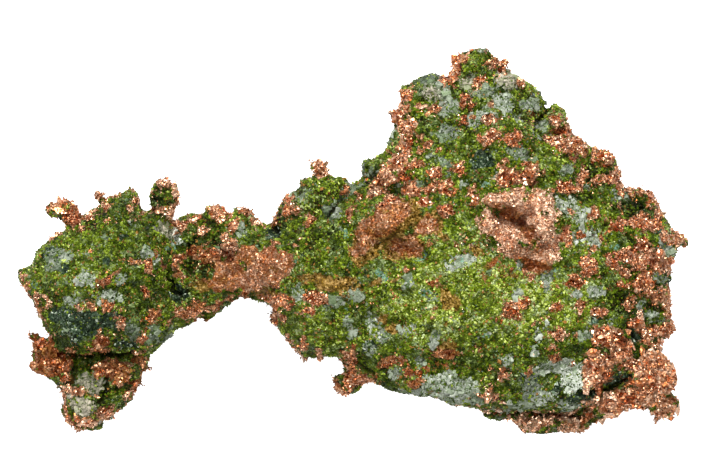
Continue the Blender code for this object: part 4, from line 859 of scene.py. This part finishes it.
def epidoteTones(minerals, spots, rng):
    _, lumpGap = facets(spots, *skinSettings["lump"])
    tone = 0.57 + 0.26 * minerals["tone"] + 0.14 * swell(spots, 1.9, 81) + 0.13 * swell(spots, 0.8, 85)
    # painted shade: grains that sit in the gaps between lumps are darker
    tone = varied(tone - 0.31 * smoothStep(0.45, 0.75, lumpGap), 0.13, rng)
    rusty = rng.random(len(spots)) < 0.03 + 0.07 * smoothStep(0.1, 0.7, swell(spots, 3.1, 82))
    grey = swell(spots, 1.5, 83) + 0.5 * swell(spots, 0.6, 84) + rng.normal(0, 0.2, len(spots))
    return {"tone": tone, "rusty": rusty.astype(float), "grey": 0.75 * smoothStep(-0.1, 0.8, grey)}


copperSettings = {
    "seed": 5, "tries": 115000, "clearance": 0.6, "shapes": {"block": 0.2, "bead": 0.4, "shard": 0.4},
    "stretch": (1.25, 0.8, 0.7), "jitter": 0.32, "lean": 0.9, "rise": 0.05, "size": 0.66, "spread": 0.32,
    "asCopper": True,  # the width follows the size of the copper region
}


def copperFront(minerals, spots, facing):
    density = 0.17 / minerals["size"] ** 2
    bare = minerals["copper"] * (1 - 0.9 * minerals["stain"]) * (1 - 0.55 * minerals["sandy"])
    bare *= 1 - 0.5 * smoothStep(0.6, 0.85, minerals["size"])
    return np.clip(bare * density, 0, 1) * facingUp(facing)


def copperBack(minerals, spots, facing):
    return 0.4 * minerals["copper"] * facingUp(facing, 0.2, -0.1)


def copperTones(minerals, spots, rng):
    tarnish = varied(minerals["tarnish"] + 0.35 * swell(spots, 0.9, 34), 0.2, rng)
    return {"red": varied(minerals["red"], 0.24, rng), "polish": rng.random(len(spots)), "tarnish": tarnish}


flakeSettings = {
    "seed": 21, "tries": 60000, "clearance": 0.8, "shapes": {"flake": 1.0}, "stretch": (1.5, 0.85, 0.42),
    "jitter": 0.3, "lean": 0.6, "rise": 0.04, "size": 1.35, "spread": 0.25, "asCopper": True,
}


def flakeChance(minerals, spots, facing):
    # broad thin leaves where the copper lies as foil
    leafy = smoothStep(0.48, 0.85, minerals["size"]) * (1 - minerals["sandy"])
    return 0.34 * leafy * minerals["copper"] * (1 - 0.9 * minerals["stain"]) * facingUp(facing, 0.15, 0.6)


crumbSettings = {
    "seed": 8, "tries": 60000, "clearance": 0.6, "shapes": {"bead": 0.5, "shard": 0.5},
    "stretch": (1.1, 0.9, 0.7), "jitter": 0.3, "lean": 0.8, "rise": 0.06, "size": 0.32, "spread": 0.3,
}


def crumbChance(minerals, spots, facing):
    # stray copper grains all over the green crust
    stray = 0.012 + 0.07 * smoothStep(0.15, 0.8, swell(spots, 2.6, 91))
    return crustShare(minerals) * (stray + 0.5 * smoothStep(0.1, 0.45, minerals["near copper"]))


quartzSettings = {
    "seed": 7, "tries": 60000, "clearance": 0.6, "shapes": {"block": 0.6, "bead": 0.4},
    "stretch": (1.2, 1.0, 0.5), "jitter": 0.3, "lean": 0.5, "rise": -0.05, "size": 0.42, "spread": 0.35,
}


def quartzChance(minerals, spots, facing):
    return 0.42 * minerals["quartz"]


def quartzTones(minerals, spots, rng):
    greenish = 0.55 - 0.4 * minerals["white"] + 0.7 * swell(spots, 1.1, 95)
    return {"white": varied(0.12 + 0.75 * minerals["white"], 0.14, rng), "warm": minerals["warm"],
            "greenish": varied(greenish, 0.25, rng)}


chloriteSettings = {
    "seed": 12, "tries": 70000, "clearance": 0.6, "shapes": {"bead": 0.6, "shard": 0.4},
    "stretch": (1.3, 1.1, 0.5), "jitter": 0.3, "lean": 0.7, "rise": 0.02, "size": 0.34, "spread": 0.3,
    "glassy": 0.17,  # the share of bright flakes
}


def chloriteChance(minerals, spots, facing):
    return 0.7 * minerals["dark"] * (1 - minerals["copper"])


def chloriteTones(minerals, spots, rng):
    glassy = rng.random(len(spots)) < chloriteSettings["glassy"]
    return {"tone": varied(0.35 + 0.6 * glassy, 0.2, rng)}


# where the larger copper spikes of the rim end; a third number makes one stouter or thinner
sprigTips = [
    (-38.6, 5.0, 1.3), (-39.2, 5.8, 1.5), (-40.2, 6.2), (-41.1, 5.4), (-42.3, 4.6), (-36.0, 7.2),
    (-35.2, 7.0), (-30.7, 7.6, 1.2), (-27.2, 8.6), (-26.0, 9.2, 1.5), (-24.9, 8.4), (-24.2, 6.6),
    (-24.1, 5.5), (-19.2, 5.2), (-16.4, 4.9), (-15.3, 5.1), (-14.1, 4.6), (-22.9, 3.7),
    (-46.8, -4.4, 1.2), (-44.6, -2.4), (-46.5, -6.2), (-44.3, -9.6), (-45.4, -12.5),
    (-45.8, -12.9, 1.2), (-45.4, -15.6), (-44.9, -17.3), (-44.4, -18.4), (-41.5, -24.3),
    (-41.2, -22.8), (-39.0, -26.9), (-38.2, -26.5), (-33.5, -25.1), (-29.4, -20.4),
    (-28.3, -18.0, 1.2), (-28.8, -16.6), (-9.6, 6.8), (-10.3, 5.4), (-11.4, 3.6), (-6.3, 10.9),
    (-6.2, 11.3), (-4.9, 11.3), (-3.8, 10.4), (1.0, 9.9), (4.8, 18.2), (5.2, 14.6), (5.8, 16.7),
    (6.3, 21.2), (6.4, 18.6), (8.0, 22.3), (14.7, 26.4), (13.8, 24.7), (16.3, 26.8), (21.8, 25.5),
    (20.6, 25.2), (21.9, 24.0), (31.0, 14.9), (34.8, 12.6), (36.2, 12.1), (37.1, 10.5), (40.3, 7.9),
    (42.0, 6.2), (43.0, 4.2), (44.2, 2.4), (46.6, -0.3, 1.4), (45.4, -1.3), (44.9, -3.1), (44.6, -8.3),
    (45.1, -12.0), (44.4, -11.2), (44.8, -17.3), (45.2, -19.0), (45.6, -21.9), (45.7, -23.6, 1.3),
    (42.6, -25.5, 1.7), (43.4, -24.2), (32.4, -26.8, 1.4), (34.4, -25.3), (30.3, -26.8), (26.6, -26.9),
    (23.9, -26.7), (-1.2, -21.9), (-2.2, -21.5), (-3.1, -19.6), (-3.1, -18.9), (-2.0, -16.8, 1.2),
    (-4.7, -16.9, 1.2), (-6.9, -16.9, 1.6), (-7.5, -16.3), (-10.6, -12.5), (13.0, -22.6),
    (17.8, -23.7),
]
sprigSettings = {
    "seed": 14, "reach": 1.6, "beads": 8, "width": 0.95, "taper": 0.72, "unevenness": 0.10,
    "barbs": 3, "barbLength": 0.9, "barbWidth": 0.45, "barbBeads": 3,
    "fringe": 700, "fringeLength": 0.9, "fringeWidth": 0.42, "fringeRoot": 0.3,
    "shapes": {"bead": 0.6, "shard": 0.4}, "stretch": (0.8, 0.8, 1.7),
    "jitter": 0.32, "lean": 0.35, "rise": 0.0,
}


def growSprigs():
    # each sprig is a run of small beads and shards that tapers to its tip, with short side barbs
    s = sprigSettings
    rng = np.random.default_rng(s["seed"])
    points, facing = arraysOf(skin.data)
    spots, ways, sizes = [], [], []

    def spike(root, tip, width, beads):
        run = tip - root
        for part in np.linspace(0, 1, beads):
            spots.append(root + part * run * 0.94 + rng.normal(0, s["unevenness"] * width, 3))
            ways.append(unit(run))
            sizes.append(width * (1 - s["taper"] * part))

    for x, y, *stout in sprigTips:
        gap = np.hypot(points[:, 0] - x, points[:, 1] - y)
        middle = points[gap < gap.min() + s["reach"]].mean(0)
        height = 0.5 * (middle[2] + points[gap.argmin(), 2]) + rng.normal(0, 0.2)
        tip = np.array([x, y, height])
        way = unit((tip - middle) * (1, 1, 0.3))
        root = tip - way * (s["reach"] + gap.min())
        spike(root, tip, s["width"] * (stout[0] if stout else 1), s["beads"])
        for barb in range(s["barbs"]):
            start = tip - way * rng.uniform(0.3, 1.4)
            aside = unit(way + rng.normal(0, 0.8, 3)) * s["barbLength"]
            spike(start, start + aside * rng.uniform(0.6, 1.1), s["barbWidth"], s["barbBeads"])

    # a finer fringe wherever copper reaches a rim
    minerals, _ = mineralsAt(points, facing)
    rim = (minerals["copper"] > 0.6) & (minerals["sandy"] < 0.5)
    rim &= (np.abs(facing[:, 2]) < 0.45) & (points[:, 2] > 1.2)
    for k in rng.choice(np.flatnonzero(rim), s["fringe"], replace=False):
        way = unit(facing[k] + rng.normal(0, 0.35, 3))
        tip = points[k] + s["fringeLength"] * rng.uniform(0.5, 1.2) * way
        width = s["fringeWidth"] * rng.uniform(0.8, 1.4)
        spike(points[k] - s["fringeRoot"] * way, tip, width, s["barbBeads"])

    spots, ways, sizes = np.array(spots), np.array(ways), np.array(sizes)
    kind = np.where(rng.random(len(spots)) < s["shapes"]["bead"], 0, 1)

    def looks(order):
        minerals, _ = mineralsAt(spots[order], ways[order])
        return copperTones(minerals, spots[order], rng)

    return plantGrains("copperSprigs", spots, ways, sizes, kind, s, rng, looks)


epidoteTop = growGrains("epidoteGrainsTop", epidoteSettings, epidoteFront, epidoteTones)
epidoteUnder = growGrains("epidoteGrainsUnder", {**epidoteSettings, "seed": 4}, epidoteBack, epidoteTones)
copperTop = growGrains("copperCrystalsTop", copperSettings, copperFront, copperTones)
copperUnder = growGrains("copperCrystalsUnder", {**copperSettings, "seed": 6}, copperBack, copperTones)
copperFlakes = growGrains("copperFlakes", flakeSettings, flakeChance, copperTones)
copperCrumbs = growGrains("copperCrumbs", crumbSettings, crumbChance, copperTones)
quartzGrains = growGrains("quartzGrains", quartzSettings, quartzChance, quartzTones)
chloriteFlakes = growGrains("chloriteFlakes", chloriteSettings, chloriteChance, chloriteTones)
copperSprigs = growSprigs()
bpy.data.objects.remove(skin)


# nodes for the materials; a value is a number, a colour or another node's output

def feed(tree, socket, value):
    if isinstance(value, tuple):
        socket.default_value = (*value, 1)
    elif isinstance(value, (int, float)):
        socket.default_value = value
    else:
        tree.links.new(value, socket)


def addNode(tree, kind, inputs=(), **settings):
    node = tree.nodes.new("ShaderNode" + kind)
    for label, value in settings.items():
        setattr(node, label, value)
    for label, value in dict(inputs).items():
        feed(tree, node.inputs[label], value)
    return node


def calculate(tree, operation, first, second, clamp=False):
    return addNode(tree, "Math", {0: first, 1: second}, operation=operation, use_clamp=clamp).outputs[0]


def plus(tree, first, second, clamp=False):
    return calculate(tree, "ADD", first, second, clamp)


def minus(tree, first, second):
    return calculate(tree, "SUBTRACT", first, second)


def times(tree, first, second, clamp=False):
    return calculate(tree, "MULTIPLY", first, second, clamp)


def larger(tree, first, second):
    return calculate(tree, "MAXIMUM", first, second)


def mixColour(tree, factor, first, second, blend="MIX"):
    inputs = {0: factor, 6: first, 7: second}
    return addNode(tree, "Mix", inputs, data_type="RGBA", blend_type=blend).outputs[2]


def mixValue(tree, factor, first, second):
    return addNode(tree, "Mix", {0: factor, 2: first, 3: second}, data_type="FLOAT").outputs[0]


def ramp(tree, factor, stops):
    node = addNode(tree, "ValToRGB", {0: factor})
    band = node.color_ramp
    while len(band.elements) < len(stops):
        band.elements.new(0.5)
    for element, (place, colour) in zip(band.elements, stops):
        element.position = place
        element.color = (*colour, 1)
    return node.outputs[0]


def attribute(tree, name):
    return addNode(tree, "Attribute", attribute_name=name).outputs["Fac"]


def above(tree, value, low, high, kind="SMOOTHSTEP"):
    # 0 at low and 1 at high
    inputs = {"Value": value, "From Min": low, "From Max": high}
    return addNode(tree, "MapRange", inputs, interpolation_type=kind).outputs[0]


def weighted(tree, start, parts):
    # start + sum of (value - 0.5) * weight, kept from 0 to 1
    total = start
    for value, weight in parts:
        total = plus(tree, times(tree, minus(tree, value, 0.5), weight), total)
    return plus(tree, total, 0.0, clamp=True)


# shader groups, with sizes in mm

def newGroup(name, inputs, outputs):
    # inputs come with their usual values; an output called Colour is one
    group = bpy.data.node_groups.new(name, "ShaderNodeTree")
    for label, value in inputs.items():
        kind = "NodeSocketColor" if isinstance(value, tuple) else "NodeSocketFloat"
        feed(group, group.interface.new_socket(label, in_out="INPUT", socket_type=kind), value)
    for label in outputs:
        kind = "NodeSocketColor" if label == "Colour" else "NodeSocketFloat"
        group.interface.new_socket(label, in_out="OUTPUT", socket_type=kind)
    given, out = group.nodes.new("NodeGroupInput"), group.nodes.new("NodeGroupOutput")
    return group, given.outputs, out.inputs


def crystalCellsGroup():
    # close-packed crystals of one size: a dome or a tilted facet on each, its own random
    # tint and lottery number, and a mask for the gaps between them
    labels = ("Dome", "Facet", "Tint", "Lottery", "Gap")
    group, given, out = newGroup("crystalCells", {"Size": 0.4}, labels)
    place = addNode(group, "TexCoord").outputs["Object"]
    scale = calculate(group, "DIVIDE", 1000.0, given["Size"])
    grid = {"Vector": place, "Scale": scale}
    cells = addNode(group, "TexVoronoi", grid, voronoi_dimensions="3D").outputs
    edges = addNode(group, "TexVoronoi", grid, voronoi_dimensions="3D", feature="DISTANCE_TO_EDGE").outputs
    offset = addNode(group, "VectorMath", {0: place, 1: cells["Position"]}, operation="SUBTRACT").outputs[0]
    spread = addNode(group, "VectorMath", {0: offset, "Scale": scale}, operation="SCALE").outputs[0]
    tilt = addNode(group, "VectorMath", {0: cells["Color"]}, operation="SUBTRACT")
    tilt.inputs[1].default_value = (0.5, 0.5, 0.5)
    slope = addNode(group, "VectorMath", {0: spread, 1: tilt.outputs[0]}, operation="DOT_PRODUCT")
    chance = addNode(group, "SeparateColor", {0: cells["Color"]}).outputs
    gap = above(group, edges["Distance"], 0.13, 0.0)
    values = (minus(group, 1.0, cells["Distance"]), slope.outputs["Value"], chance[0], chance[1], gap)
    for label, value in zip(labels, values):
        feed(group, out[label], value)
    return group


def noiseIn(group, width, detail):
    scale = calculate(group, "DIVIDE", 1000.0, width)
    inputs = {"Vector": addNode(group, "TexCoord").outputs["Object"], "Scale": scale, "Detail": detail}
    return addNode(group, "TexNoise", inputs, noise_dimensions="3D").outputs["Fac"]


def cloudGroup():
    # soft clouds from 0 to 1 with most of their range used
    group, given, out = newGroup("mineralCloud", {"Width": 2.0}, ["Cloud"])
    feed(group, out["Cloud"], above(group, noiseIn(group, given["Width"], 3), 0.28, 0.72, "LINEAR"))
    return group


def borderGroup():
    # turns a soft mask into a ragged one with a crisp border
    inputs = {"Mask": 0.0, "Raggedness": 0.5, "Piece size": 0.5}
    group, given, out = newGroup("raggedBorder", inputs, ["Mask"])
    sway = times(group, minus(group, noiseIn(group, given["Piece size"], 2), 0.5), given["Raggedness"])
    feed(group, out["Mask"], above(group, plus(group, given["Mask"], sway), 0.40, 0.60))
    return group


def copperSpecksGroup():
    # painted shade as dark lines and specks all over bare copper, and painted glints as bright specks where
    # it is clean
    inputs = {"Colour": (1.0, 0.6, 0.4), "Lines": 0.0, "Tint": 0.5, "Tarnish": 0.0,
              "Shade share": 0.5, "Glint share": 0.4}
    group, given, out = newGroup("copperSpecks", inputs, ["Colour"])
    shadeColour = finish["copperGapShade"]
    colour = mixColour(group, given["Lines"], given["Colour"], shadeColour)
    dark = times(group, above(group, given["Tint"], 0.30, 0.22), given["Shade share"])
    colour = mixColour(group, dark, colour, shadeColour)
    clean = times(group, minus(group, 1.0, given["Tarnish"]), given["Glint share"])
    glint = times(group, above(group, given["Tint"], 0.70, 0.80), clean)
    feed(group, out["Colour"], mixColour(group, glint, colour, finish["paintedCopperGlint"]))
    return group


finish = {
    "copperStops": [(0.0, (1.0, 0.70, 0.49)), (0.35, (0.98, 0.55, 0.32)), (0.7, (0.84, 0.32, 0.12)),
                    (1.0, (0.56, 0.11, 0.03))],
    "epidoteStops": [(0.0, (0.005, 0.012, 0.001)), (0.3, (0.026, 0.046, 0.001)),
                     (0.55, (0.085, 0.130, 0.003)), (0.8, (0.22, 0.295, 0.018)), (1.0, (0.54, 0.62, 0.17))],
    "greyGreenStops": [(0.0, (0.008, 0.014, 0.004)), (0.45, (0.050, 0.075, 0.022)),
                       (0.7, (0.15, 0.20, 0.085)), (1.0, (0.48, 0.55, 0.34))],
    "quartzStops": [(0.0, (0.032, 0.048, 0.026)), (0.5, (0.26, 0.285, 0.225)), (1.0, (0.58, 0.62, 0.53))],
    "darkStops": [(0.0, (0.004, 0.009, 0.003)), (0.5, (0.022, 0.042, 0.020)), (0.8, (0.11, 0.16, 0.095)),
                  (1.0, (0.46, 0.52, 0.41))],
    "stainStops": [(0.0, (0.05, 0.024, 0.002)), (0.5, (0.22, 0.115, 0.018)), (1.0, (0.58, 0.36, 0.13))],
    "malachite": (0.13, 0.36, 0.25),
    "paleSalt": (0.24, 0.30, 0.22),
    "rust": (0.26, 0.125, 0.028),
    "paleGrain": (0.20, 0.26, 0.17),
    # painted shade in the gaps between the crust's crystals
    "crustGapShade": (0.010, 0.018, 0.001),
    "greenInQuartz": (0.07, 0.115, 0.03),
    "greenQuartz": (0.12, 0.18, 0.07),
    "warmQuartz": (1.16, 0.97, 0.90),
    "redOxide": (0.34, 0.115, 0.045),
    # red-brown painted shade for the gaps and dark specks of bare copper, and its painted glints
    "copperGapShade": (0.24, 0.062, 0.012),
    "paintedCopperGlint": (1.0, 0.79, 0.60),
    # painted shade colours, multiplied into the crust's and the copper's dips and grooves
    "crustPaintedShade": (0.13, 0.11, 0.04),
    "copperPaintedShade": (0.45, 0.22, 0.12),
}
crystalCells = crystalCellsGroup()
mineralCloud = cloudGroup()
raggedBorder = borderGroup()
copperSpecks = copperSpecksGroup()


def placeGroup(tree, group, values):
    node = addNode(tree, "Group", node_tree=group)
    for label, value in values.items():
        feed(tree, node.inputs[label], value)
    return node.outputs


def crystals(tree, size):
    return placeGroup(tree, crystalCells, {"Size": size})


def clouds(tree, width):
    return placeGroup(tree, mineralCloud, {"Width": width})["Cloud"]


def newMaterial(name, shine):
    material = bpy.data.materials.new(name)
    material.use_nodes = True
    tree = material.node_tree
    surface = tree.nodes["Principled BSDF"]
    surface.inputs["Specular IOR Level"].default_value = shine
    return material, tree, surface.inputs


def addBump(tree, surface, height, distance):
    bump = addNode(tree, "Bump", {"Height": height, "Strength": 1.0, "Distance": distance * mm})
    feed(tree, surface["Normal"], bump.outputs[0])


def grainFinish(tree, surface, colour, specks, roughness, depth):
    # colour, a roughness that differs from speck to speck, and the specks' own facets
    feed(tree, surface["Base Color"], colour)
    feed(tree, surface["Roughness"], plus(tree, roughness, times(tree, specks["Tint"], 0.3)))
    addBump(tree, surface, specks["Facet"], depth)


skinFinish = {
    "shine": 0.07,
    "grain": 0.36,  # widths of its crystals in mm
    "speck": 0.21,
    "crinkle": 0.62,
    "bump": 0.31,
    # how ragged each mineral's border is, and how wide the pieces are that it breaks into
    "borders": {"copper": (1.0, 0.40), "quartz": (1.3, 0.45), "stain": (0.9, 0.6), "dark": (1.2, 0.6),
                "malachite": (1.1, 0.4)},
    # shares of painted shade specks and painted glint specks on bare copper
    "shadeSpecks": 0.6,
    "glintSpecks": 0.5,
}


def crustColour(tree, masks, grains, specks, lumps, haze):
    # green crust, with strays of copper, rust and pale grains, then the other minerals on it
    tint = (grains["Tint"], specks["Tint"])
    tone = plus(tree, times(tree, attribute(tree, "tone"), 0.26), 0.5)
    cloud = clouds(tree, 2.0)
    tone = weighted(tree, tone, [(tint[0], 0.36), (tint[1], 0.36), (cloud, 0.34), (lumps, 0.34)])
    greyer = ramp(tree, tone, finish["greyGreenStops"])
    colour = ramp(tree, tone, finish["epidoteStops"])
    colour = mixColour(tree, times(tree, above(tree, lumps, 0.5, 0.9), 0.7), colour, greyer)
    colour = mixColour(tree, above(tree, specks["Lottery"], 0.93, 0.95), colour, finish["rust"])
    colour = mixColour(tree, above(tree, specks["Lottery"], 0.04, 0.02), colour, finish["paleGrain"])
    # painted shade in the gaps between the crystals of the crust
    gaps = times(tree, larger(tree, grains["Gap"], specks["Gap"]), 0.6)
    colour = mixColour(tree, gaps, colour, finish["crustGapShade"])
    dark = weighted(tree, 0.42, [(tint[1], 0.5), (tint[0], 0.45), (lumps, 0.7)])
    colour = mixColour(tree, masks["dark"], colour, ramp(tree, dark, finish["darkStops"]))
    pale = plus(tree, times(tree, attribute(tree, "white"), 0.6), 0.16)
    pale = weighted(tree, pale, [(haze, 0.4), (lumps, 0.4), (tint[1], 0.30), (tint[0], 0.2)])
    quartz = ramp(tree, pale, finish["quartzStops"])
    quartz = mixColour(tree, above(tree, specks["Lottery"], 0.68, 0.76), quartz, finish["greenInQuartz"])
    quartz = mixColour(tree, attribute(tree, "warm"), quartz, finish["warmQuartz"], "MULTIPLY")
    colour = mixColour(tree, masks["quartz"], colour, quartz)
    salt = mixColour(tree, tint[1], finish["malachite"], finish["paleSalt"])
    colour = mixColour(tree, times(tree, masks["malachite"], 0.8), colour, salt)
    stain = weighted(tree, 0.45, [(tint[1], 0.6), (tint[0], 0.5), (haze, 0.5)])
    stain = ramp(tree, stain, finish["stainStops"])
    return mixColour(tree, times(tree, masks["stain"], 0.88), colour, stain), stain


def skinCopper(tree, stain, oxide, grains, specks, crinkles, haze):
    # bare copper, with red-brown painted shade in the gaps between its crystals
    red = attribute(tree, "red")
    redness = weighted(tree, red, [(crinkles["Tint"], 0.6), (grains["Tint"], 0.35), (haze, 0.35)])
    oxideColour = mixColour(tree, red, stain, finish["redOxide"])
    copper = mixColour(tree, oxide, ramp(tree, redness, finish["copperStops"]), oxideColour)
    lines = larger(tree, times(tree, crinkles["Gap"], 1.2), larger(tree, grains["Gap"], specks["Gap"]))
    return placeGroup(tree, copperSpecks, {
        "Colour": copper, "Lines": times(tree, lines, 0.65, clamp=True), "Tint": specks["Tint"],
        "Tarnish": oxide, "Shade share": skinFinish["shadeSpecks"],
        "Glint share": skinFinish["glintSpecks"]})["Colour"]


def skinMaterial():
    s = skinFinish
    material, tree, surface = newMaterial("nuggetSkin", s["shine"])
    grains, specks, crinkles = (crystals(tree, s[size]) for size in ("grain", "speck", "crinkle"))
    lumps, haze = clouds(tree, 1.0), clouds(tree, 0.6)
    masks = {}
    for label, (ragged, piece) in s["borders"].items():
        values = {"Mask": attribute(tree, label), "Raggedness": ragged, "Piece size": piece}
        masks[label] = placeGroup(tree, raggedBorder, values)["Mask"]

    colour, stain = crustColour(tree, masks, grains, specks, lumps, haze)
    oxide = weighted(tree, attribute(tree, "tarnish"), [(lumps, 0.7), (haze, 0.4)])
    copper = skinCopper(tree, stain, oxide, grains, specks, crinkles, haze)
    colour = mixColour(tree, masks["copper"], colour, copper)
    # painted shade: the dips, grooves and lump gaps are darkened by multiplying in a shade colour
    shade = mixColour(tree, masks["copper"], finish["crustPaintedShade"], finish["copperPaintedShade"])
    paintedShadeMask = times(tree, attribute(tree, "paintedShade"), 0.95)
    feed(tree, surface["Base Color"], mixColour(tree, paintedShadeMask, colour, shade, "MULTIPLY"))

    # oxide and the palest copper look less metallic, and a few stained specks glint
    palest = times(tree, above(tree, attribute(tree, "red"), 0.35, 0.05), 0.6)
    metal = times(tree, masks["copper"], minus(tree, 1.0, times(tree, oxide, 0.5)))
    metal = times(tree, metal, minus(tree, 1.0, palest))
    glints = times(tree, masks["stain"], above(tree, specks["Lottery"], 0.62, 0.66))
    feed(tree, surface["Metallic"], larger(tree, metal, glints))
    metalRough = plus(tree, times(tree, attribute(tree, "sandy"), 0.10), 0.22)
    metalRough = plus(tree, metalRough, times(tree, specks["Tint"], 0.20))
    crustRough = plus(tree, 0.3, times(tree, grains["Tint"], 0.3))
    feed(tree, surface["Roughness"], mixValue(tree, masks["copper"], crustRough, metalRough))
    crust = plus(tree, times(tree, grains["Facet"], 0.9), times(tree, specks["Facet"], 0.6))
    crust = plus(tree, crust, times(tree, grains["Dome"], 0.7))
    hackly = plus(tree, times(tree, crinkles["Facet"], 1.2), grains["Facet"])
    hackly = plus(tree, hackly, times(tree, specks["Facet"], 0.9))
    addBump(tree, surface, mixValue(tree, masks["copper"], crust, hackly), s["bump"])
    return material


def copperMaterial():
    material, tree, surface = newMaterial("bareCopper", 0.3)
    specks, crinkles = crystals(tree, 0.26), crystals(tree, 0.55)
    tarnish = attribute(tree, "tarnish")
    redness = [(crinkles["Tint"], 0.45), (clouds(tree, 0.7), 0.4), (specks["Tint"], 0.3)]
    colour = ramp(tree, weighted(tree, attribute(tree, "red"), redness), finish["copperStops"])
    stain = ramp(tree, weighted(tree, 0.4, [(specks["Tint"], 0.6)]), finish["stainStops"])
    # painted shade in the lines and dark specks, and painted glints in the bright specks
    colour = placeGroup(tree, copperSpecks, {
        "Colour": mixColour(tree, tarnish, colour, stain), "Tint": specks["Tint"], "Tarnish": tarnish,
        "Lines": larger(tree, times(tree, specks["Gap"], 0.6), times(tree, crinkles["Gap"], 0.85)),
        "Shade share": 0.45, "Glint share": 0.3})["Colour"]
    feed(tree, surface["Base Color"], colour)
    feed(tree, surface["Metallic"], minus(tree, 1.0, times(tree, tarnish, 0.5)))
    feed(tree, surface["Roughness"], minus(tree, 0.42, times(tree, attribute(tree, "polish"), 0.20)))
    addBump(tree, surface, plus(tree, specks["Facet"], crinkles["Facet"]), 0.18)
    return material


def epidoteMaterial():
    material, tree, surface = newMaterial("epidoteGrains", 0.10)
    specks = crystals(tree, 0.2)
    tone = weighted(tree, attribute(tree, "tone"), [(specks["Tint"], 0.35)])
    greyer = ramp(tree, tone, finish["greyGreenStops"])
    colour = mixColour(tree, attribute(tree, "grey"), ramp(tree, tone, finish["epidoteStops"]), greyer)
    colour = mixColour(tree, attribute(tree, "rusty"), colour, finish["rust"])
    grainFinish(tree, surface, colour, specks, 0.25, 0.08)
    return material


def chloriteMaterial():
    material, tree, surface = newMaterial("darkChlorite", 0.12)
    specks = crystals(tree, 0.2)
    tone = weighted(tree, attribute(tree, "tone"), [(specks["Tint"], 0.4)])
    grainFinish(tree, surface, ramp(tree, tone, finish["darkStops"]), specks, 0.2, 0.07)
    return material


def quartzMaterial():
    material, tree, surface = newMaterial("greyQuartz", 0.2)
    specks = crystals(tree, 0.22)
    pale = weighted(tree, attribute(tree, "white"), [(specks["Tint"], 0.4)])
    green = times(tree, attribute(tree, "greenish"), 0.7)
    colour = mixColour(tree, green, ramp(tree, pale, finish["quartzStops"]), finish["greenQuartz"])
    colour = mixColour(tree, attribute(tree, "warm"), colour, finish["warmQuartz"], "MULTIPLY")
    grainFinish(tree, surface, colour, specks, 0.22, 0.07)
    return material


for slotName, material, pieces in (
    ("native_copper", skinMaterial(), (skinTop, skinUnder)),
    ("epidote", epidoteMaterial(), (epidoteTop, epidoteUnder)),
    ("native_copper", copperMaterial(), (copperTop, copperUnder, copperFlakes, copperCrumbs, copperSprigs)),
    ("quartz", quartzMaterial(), (quartzGrains,)),
    ("chlorite", chloriteMaterial(), (chloriteFlakes,)),
):
    for piece in pieces:
        piece.data.materials.clear()
        piece.data.materials.append(material)
        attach(piece, "root")
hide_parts("copper_nugget")
print("materials set")


studio = {
    "floor": 1.6,
    "floorDepth": 0.00005,  # it lies this far under the nugget, so the two don't flicker
    "world": 0.16,
    "lights": {  # place in mm, size in mm, power in watts
        "key": ((-60, 330, 330), (300, 170), 3.45),
        "overhead": ((60, 60, 460), (200, 200), 1.3),
        "fill": ((220, -280, 280), (220, 180), 0.75),
        "side": ((-360, -60, 200), (200, 160), 0.5),
    },
    "lens": 200,
    "sensor": 36,
    "frameWidth": 99.12,  # what the camera spans at the height of the rim
    "centre": (0.07, 0.77),
    "rimHeight": 8.5,
}


def buildFloor():
    half = studio["floor"] / 2
    mesh = bpy.data.meshes.new("studioFloor")
    corners = [(x * half, y * half, -studio["floorDepth"]) for x, y in ((-1, -1), (1, -1), (1, 1), (-1, 1))]
    mesh.from_pydata(corners, [], [(0, 1, 2, 3)])
    material, tree, surface = newMaterial("paleFloor", 0.0)
    feed(tree, surface["Base Color"], (0.85, 0.85, 0.85))
    feed(tree, surface["Roughness"], 0.9)
    feed(tree, surface["Emission Strength"], 1)
    # only the camera sees the glow, so it clears the floor without lighting the nugget
    feed(tree, surface["Emission Color"], addNode(tree, "LightPath").outputs["Is Camera Ray"])
    mesh.materials.append(material)
    newObject("studioFloor", mesh)


def buildLights():
    for name, (place, size, power) in studio["lights"].items():
        light = bpy.data.lights.new(name, "AREA")
        light.shape = "RECTANGLE"
        light.size, light.size_y = size[0] * mm, size[1] * mm
        light.energy = power
        lamp = newObject(name, light)
        lamp.location = Vector(place) * mm
        lamp.rotation_euler = (-lamp.location).to_track_quat("-Z", "Y").to_euler()
        lamp.visible_camera = False
    world = bpy.data.worlds.new("studioWorld")
    world.use_nodes = True
    tree = world.node_tree
    background = tree.nodes["Background"].inputs
    seen = addNode(tree, "LightPath").outputs["Is Camera Ray"]
    feed(tree, background["Color"], (1.0, 0.99, 0.96))
    feed(tree, background["Strength"], mixValue(tree, seen, studio["world"], 1.0))
    bpy.context.scene.world = world


def buildCamera():
    camera = bpy.data.cameras.new("overheadCamera")
    camera.lens = studio["lens"]
    camera.sensor_width = studio["sensor"]
    camera.clip_start, camera.clip_end = 0.01, 10
    height = studio["frameWidth"] * studio["lens"] / studio["sensor"] + studio["rimHeight"]
    holder = newObject("overheadCamera", camera)
    holder.location = Vector((*studio["centre"], height)) * mm
    bpy.context.scene.camera = holder


buildFloor()
buildLights()
buildCamera()
bpy.context.scene.view_settings.view_transform = "Standard"
print("studio set")
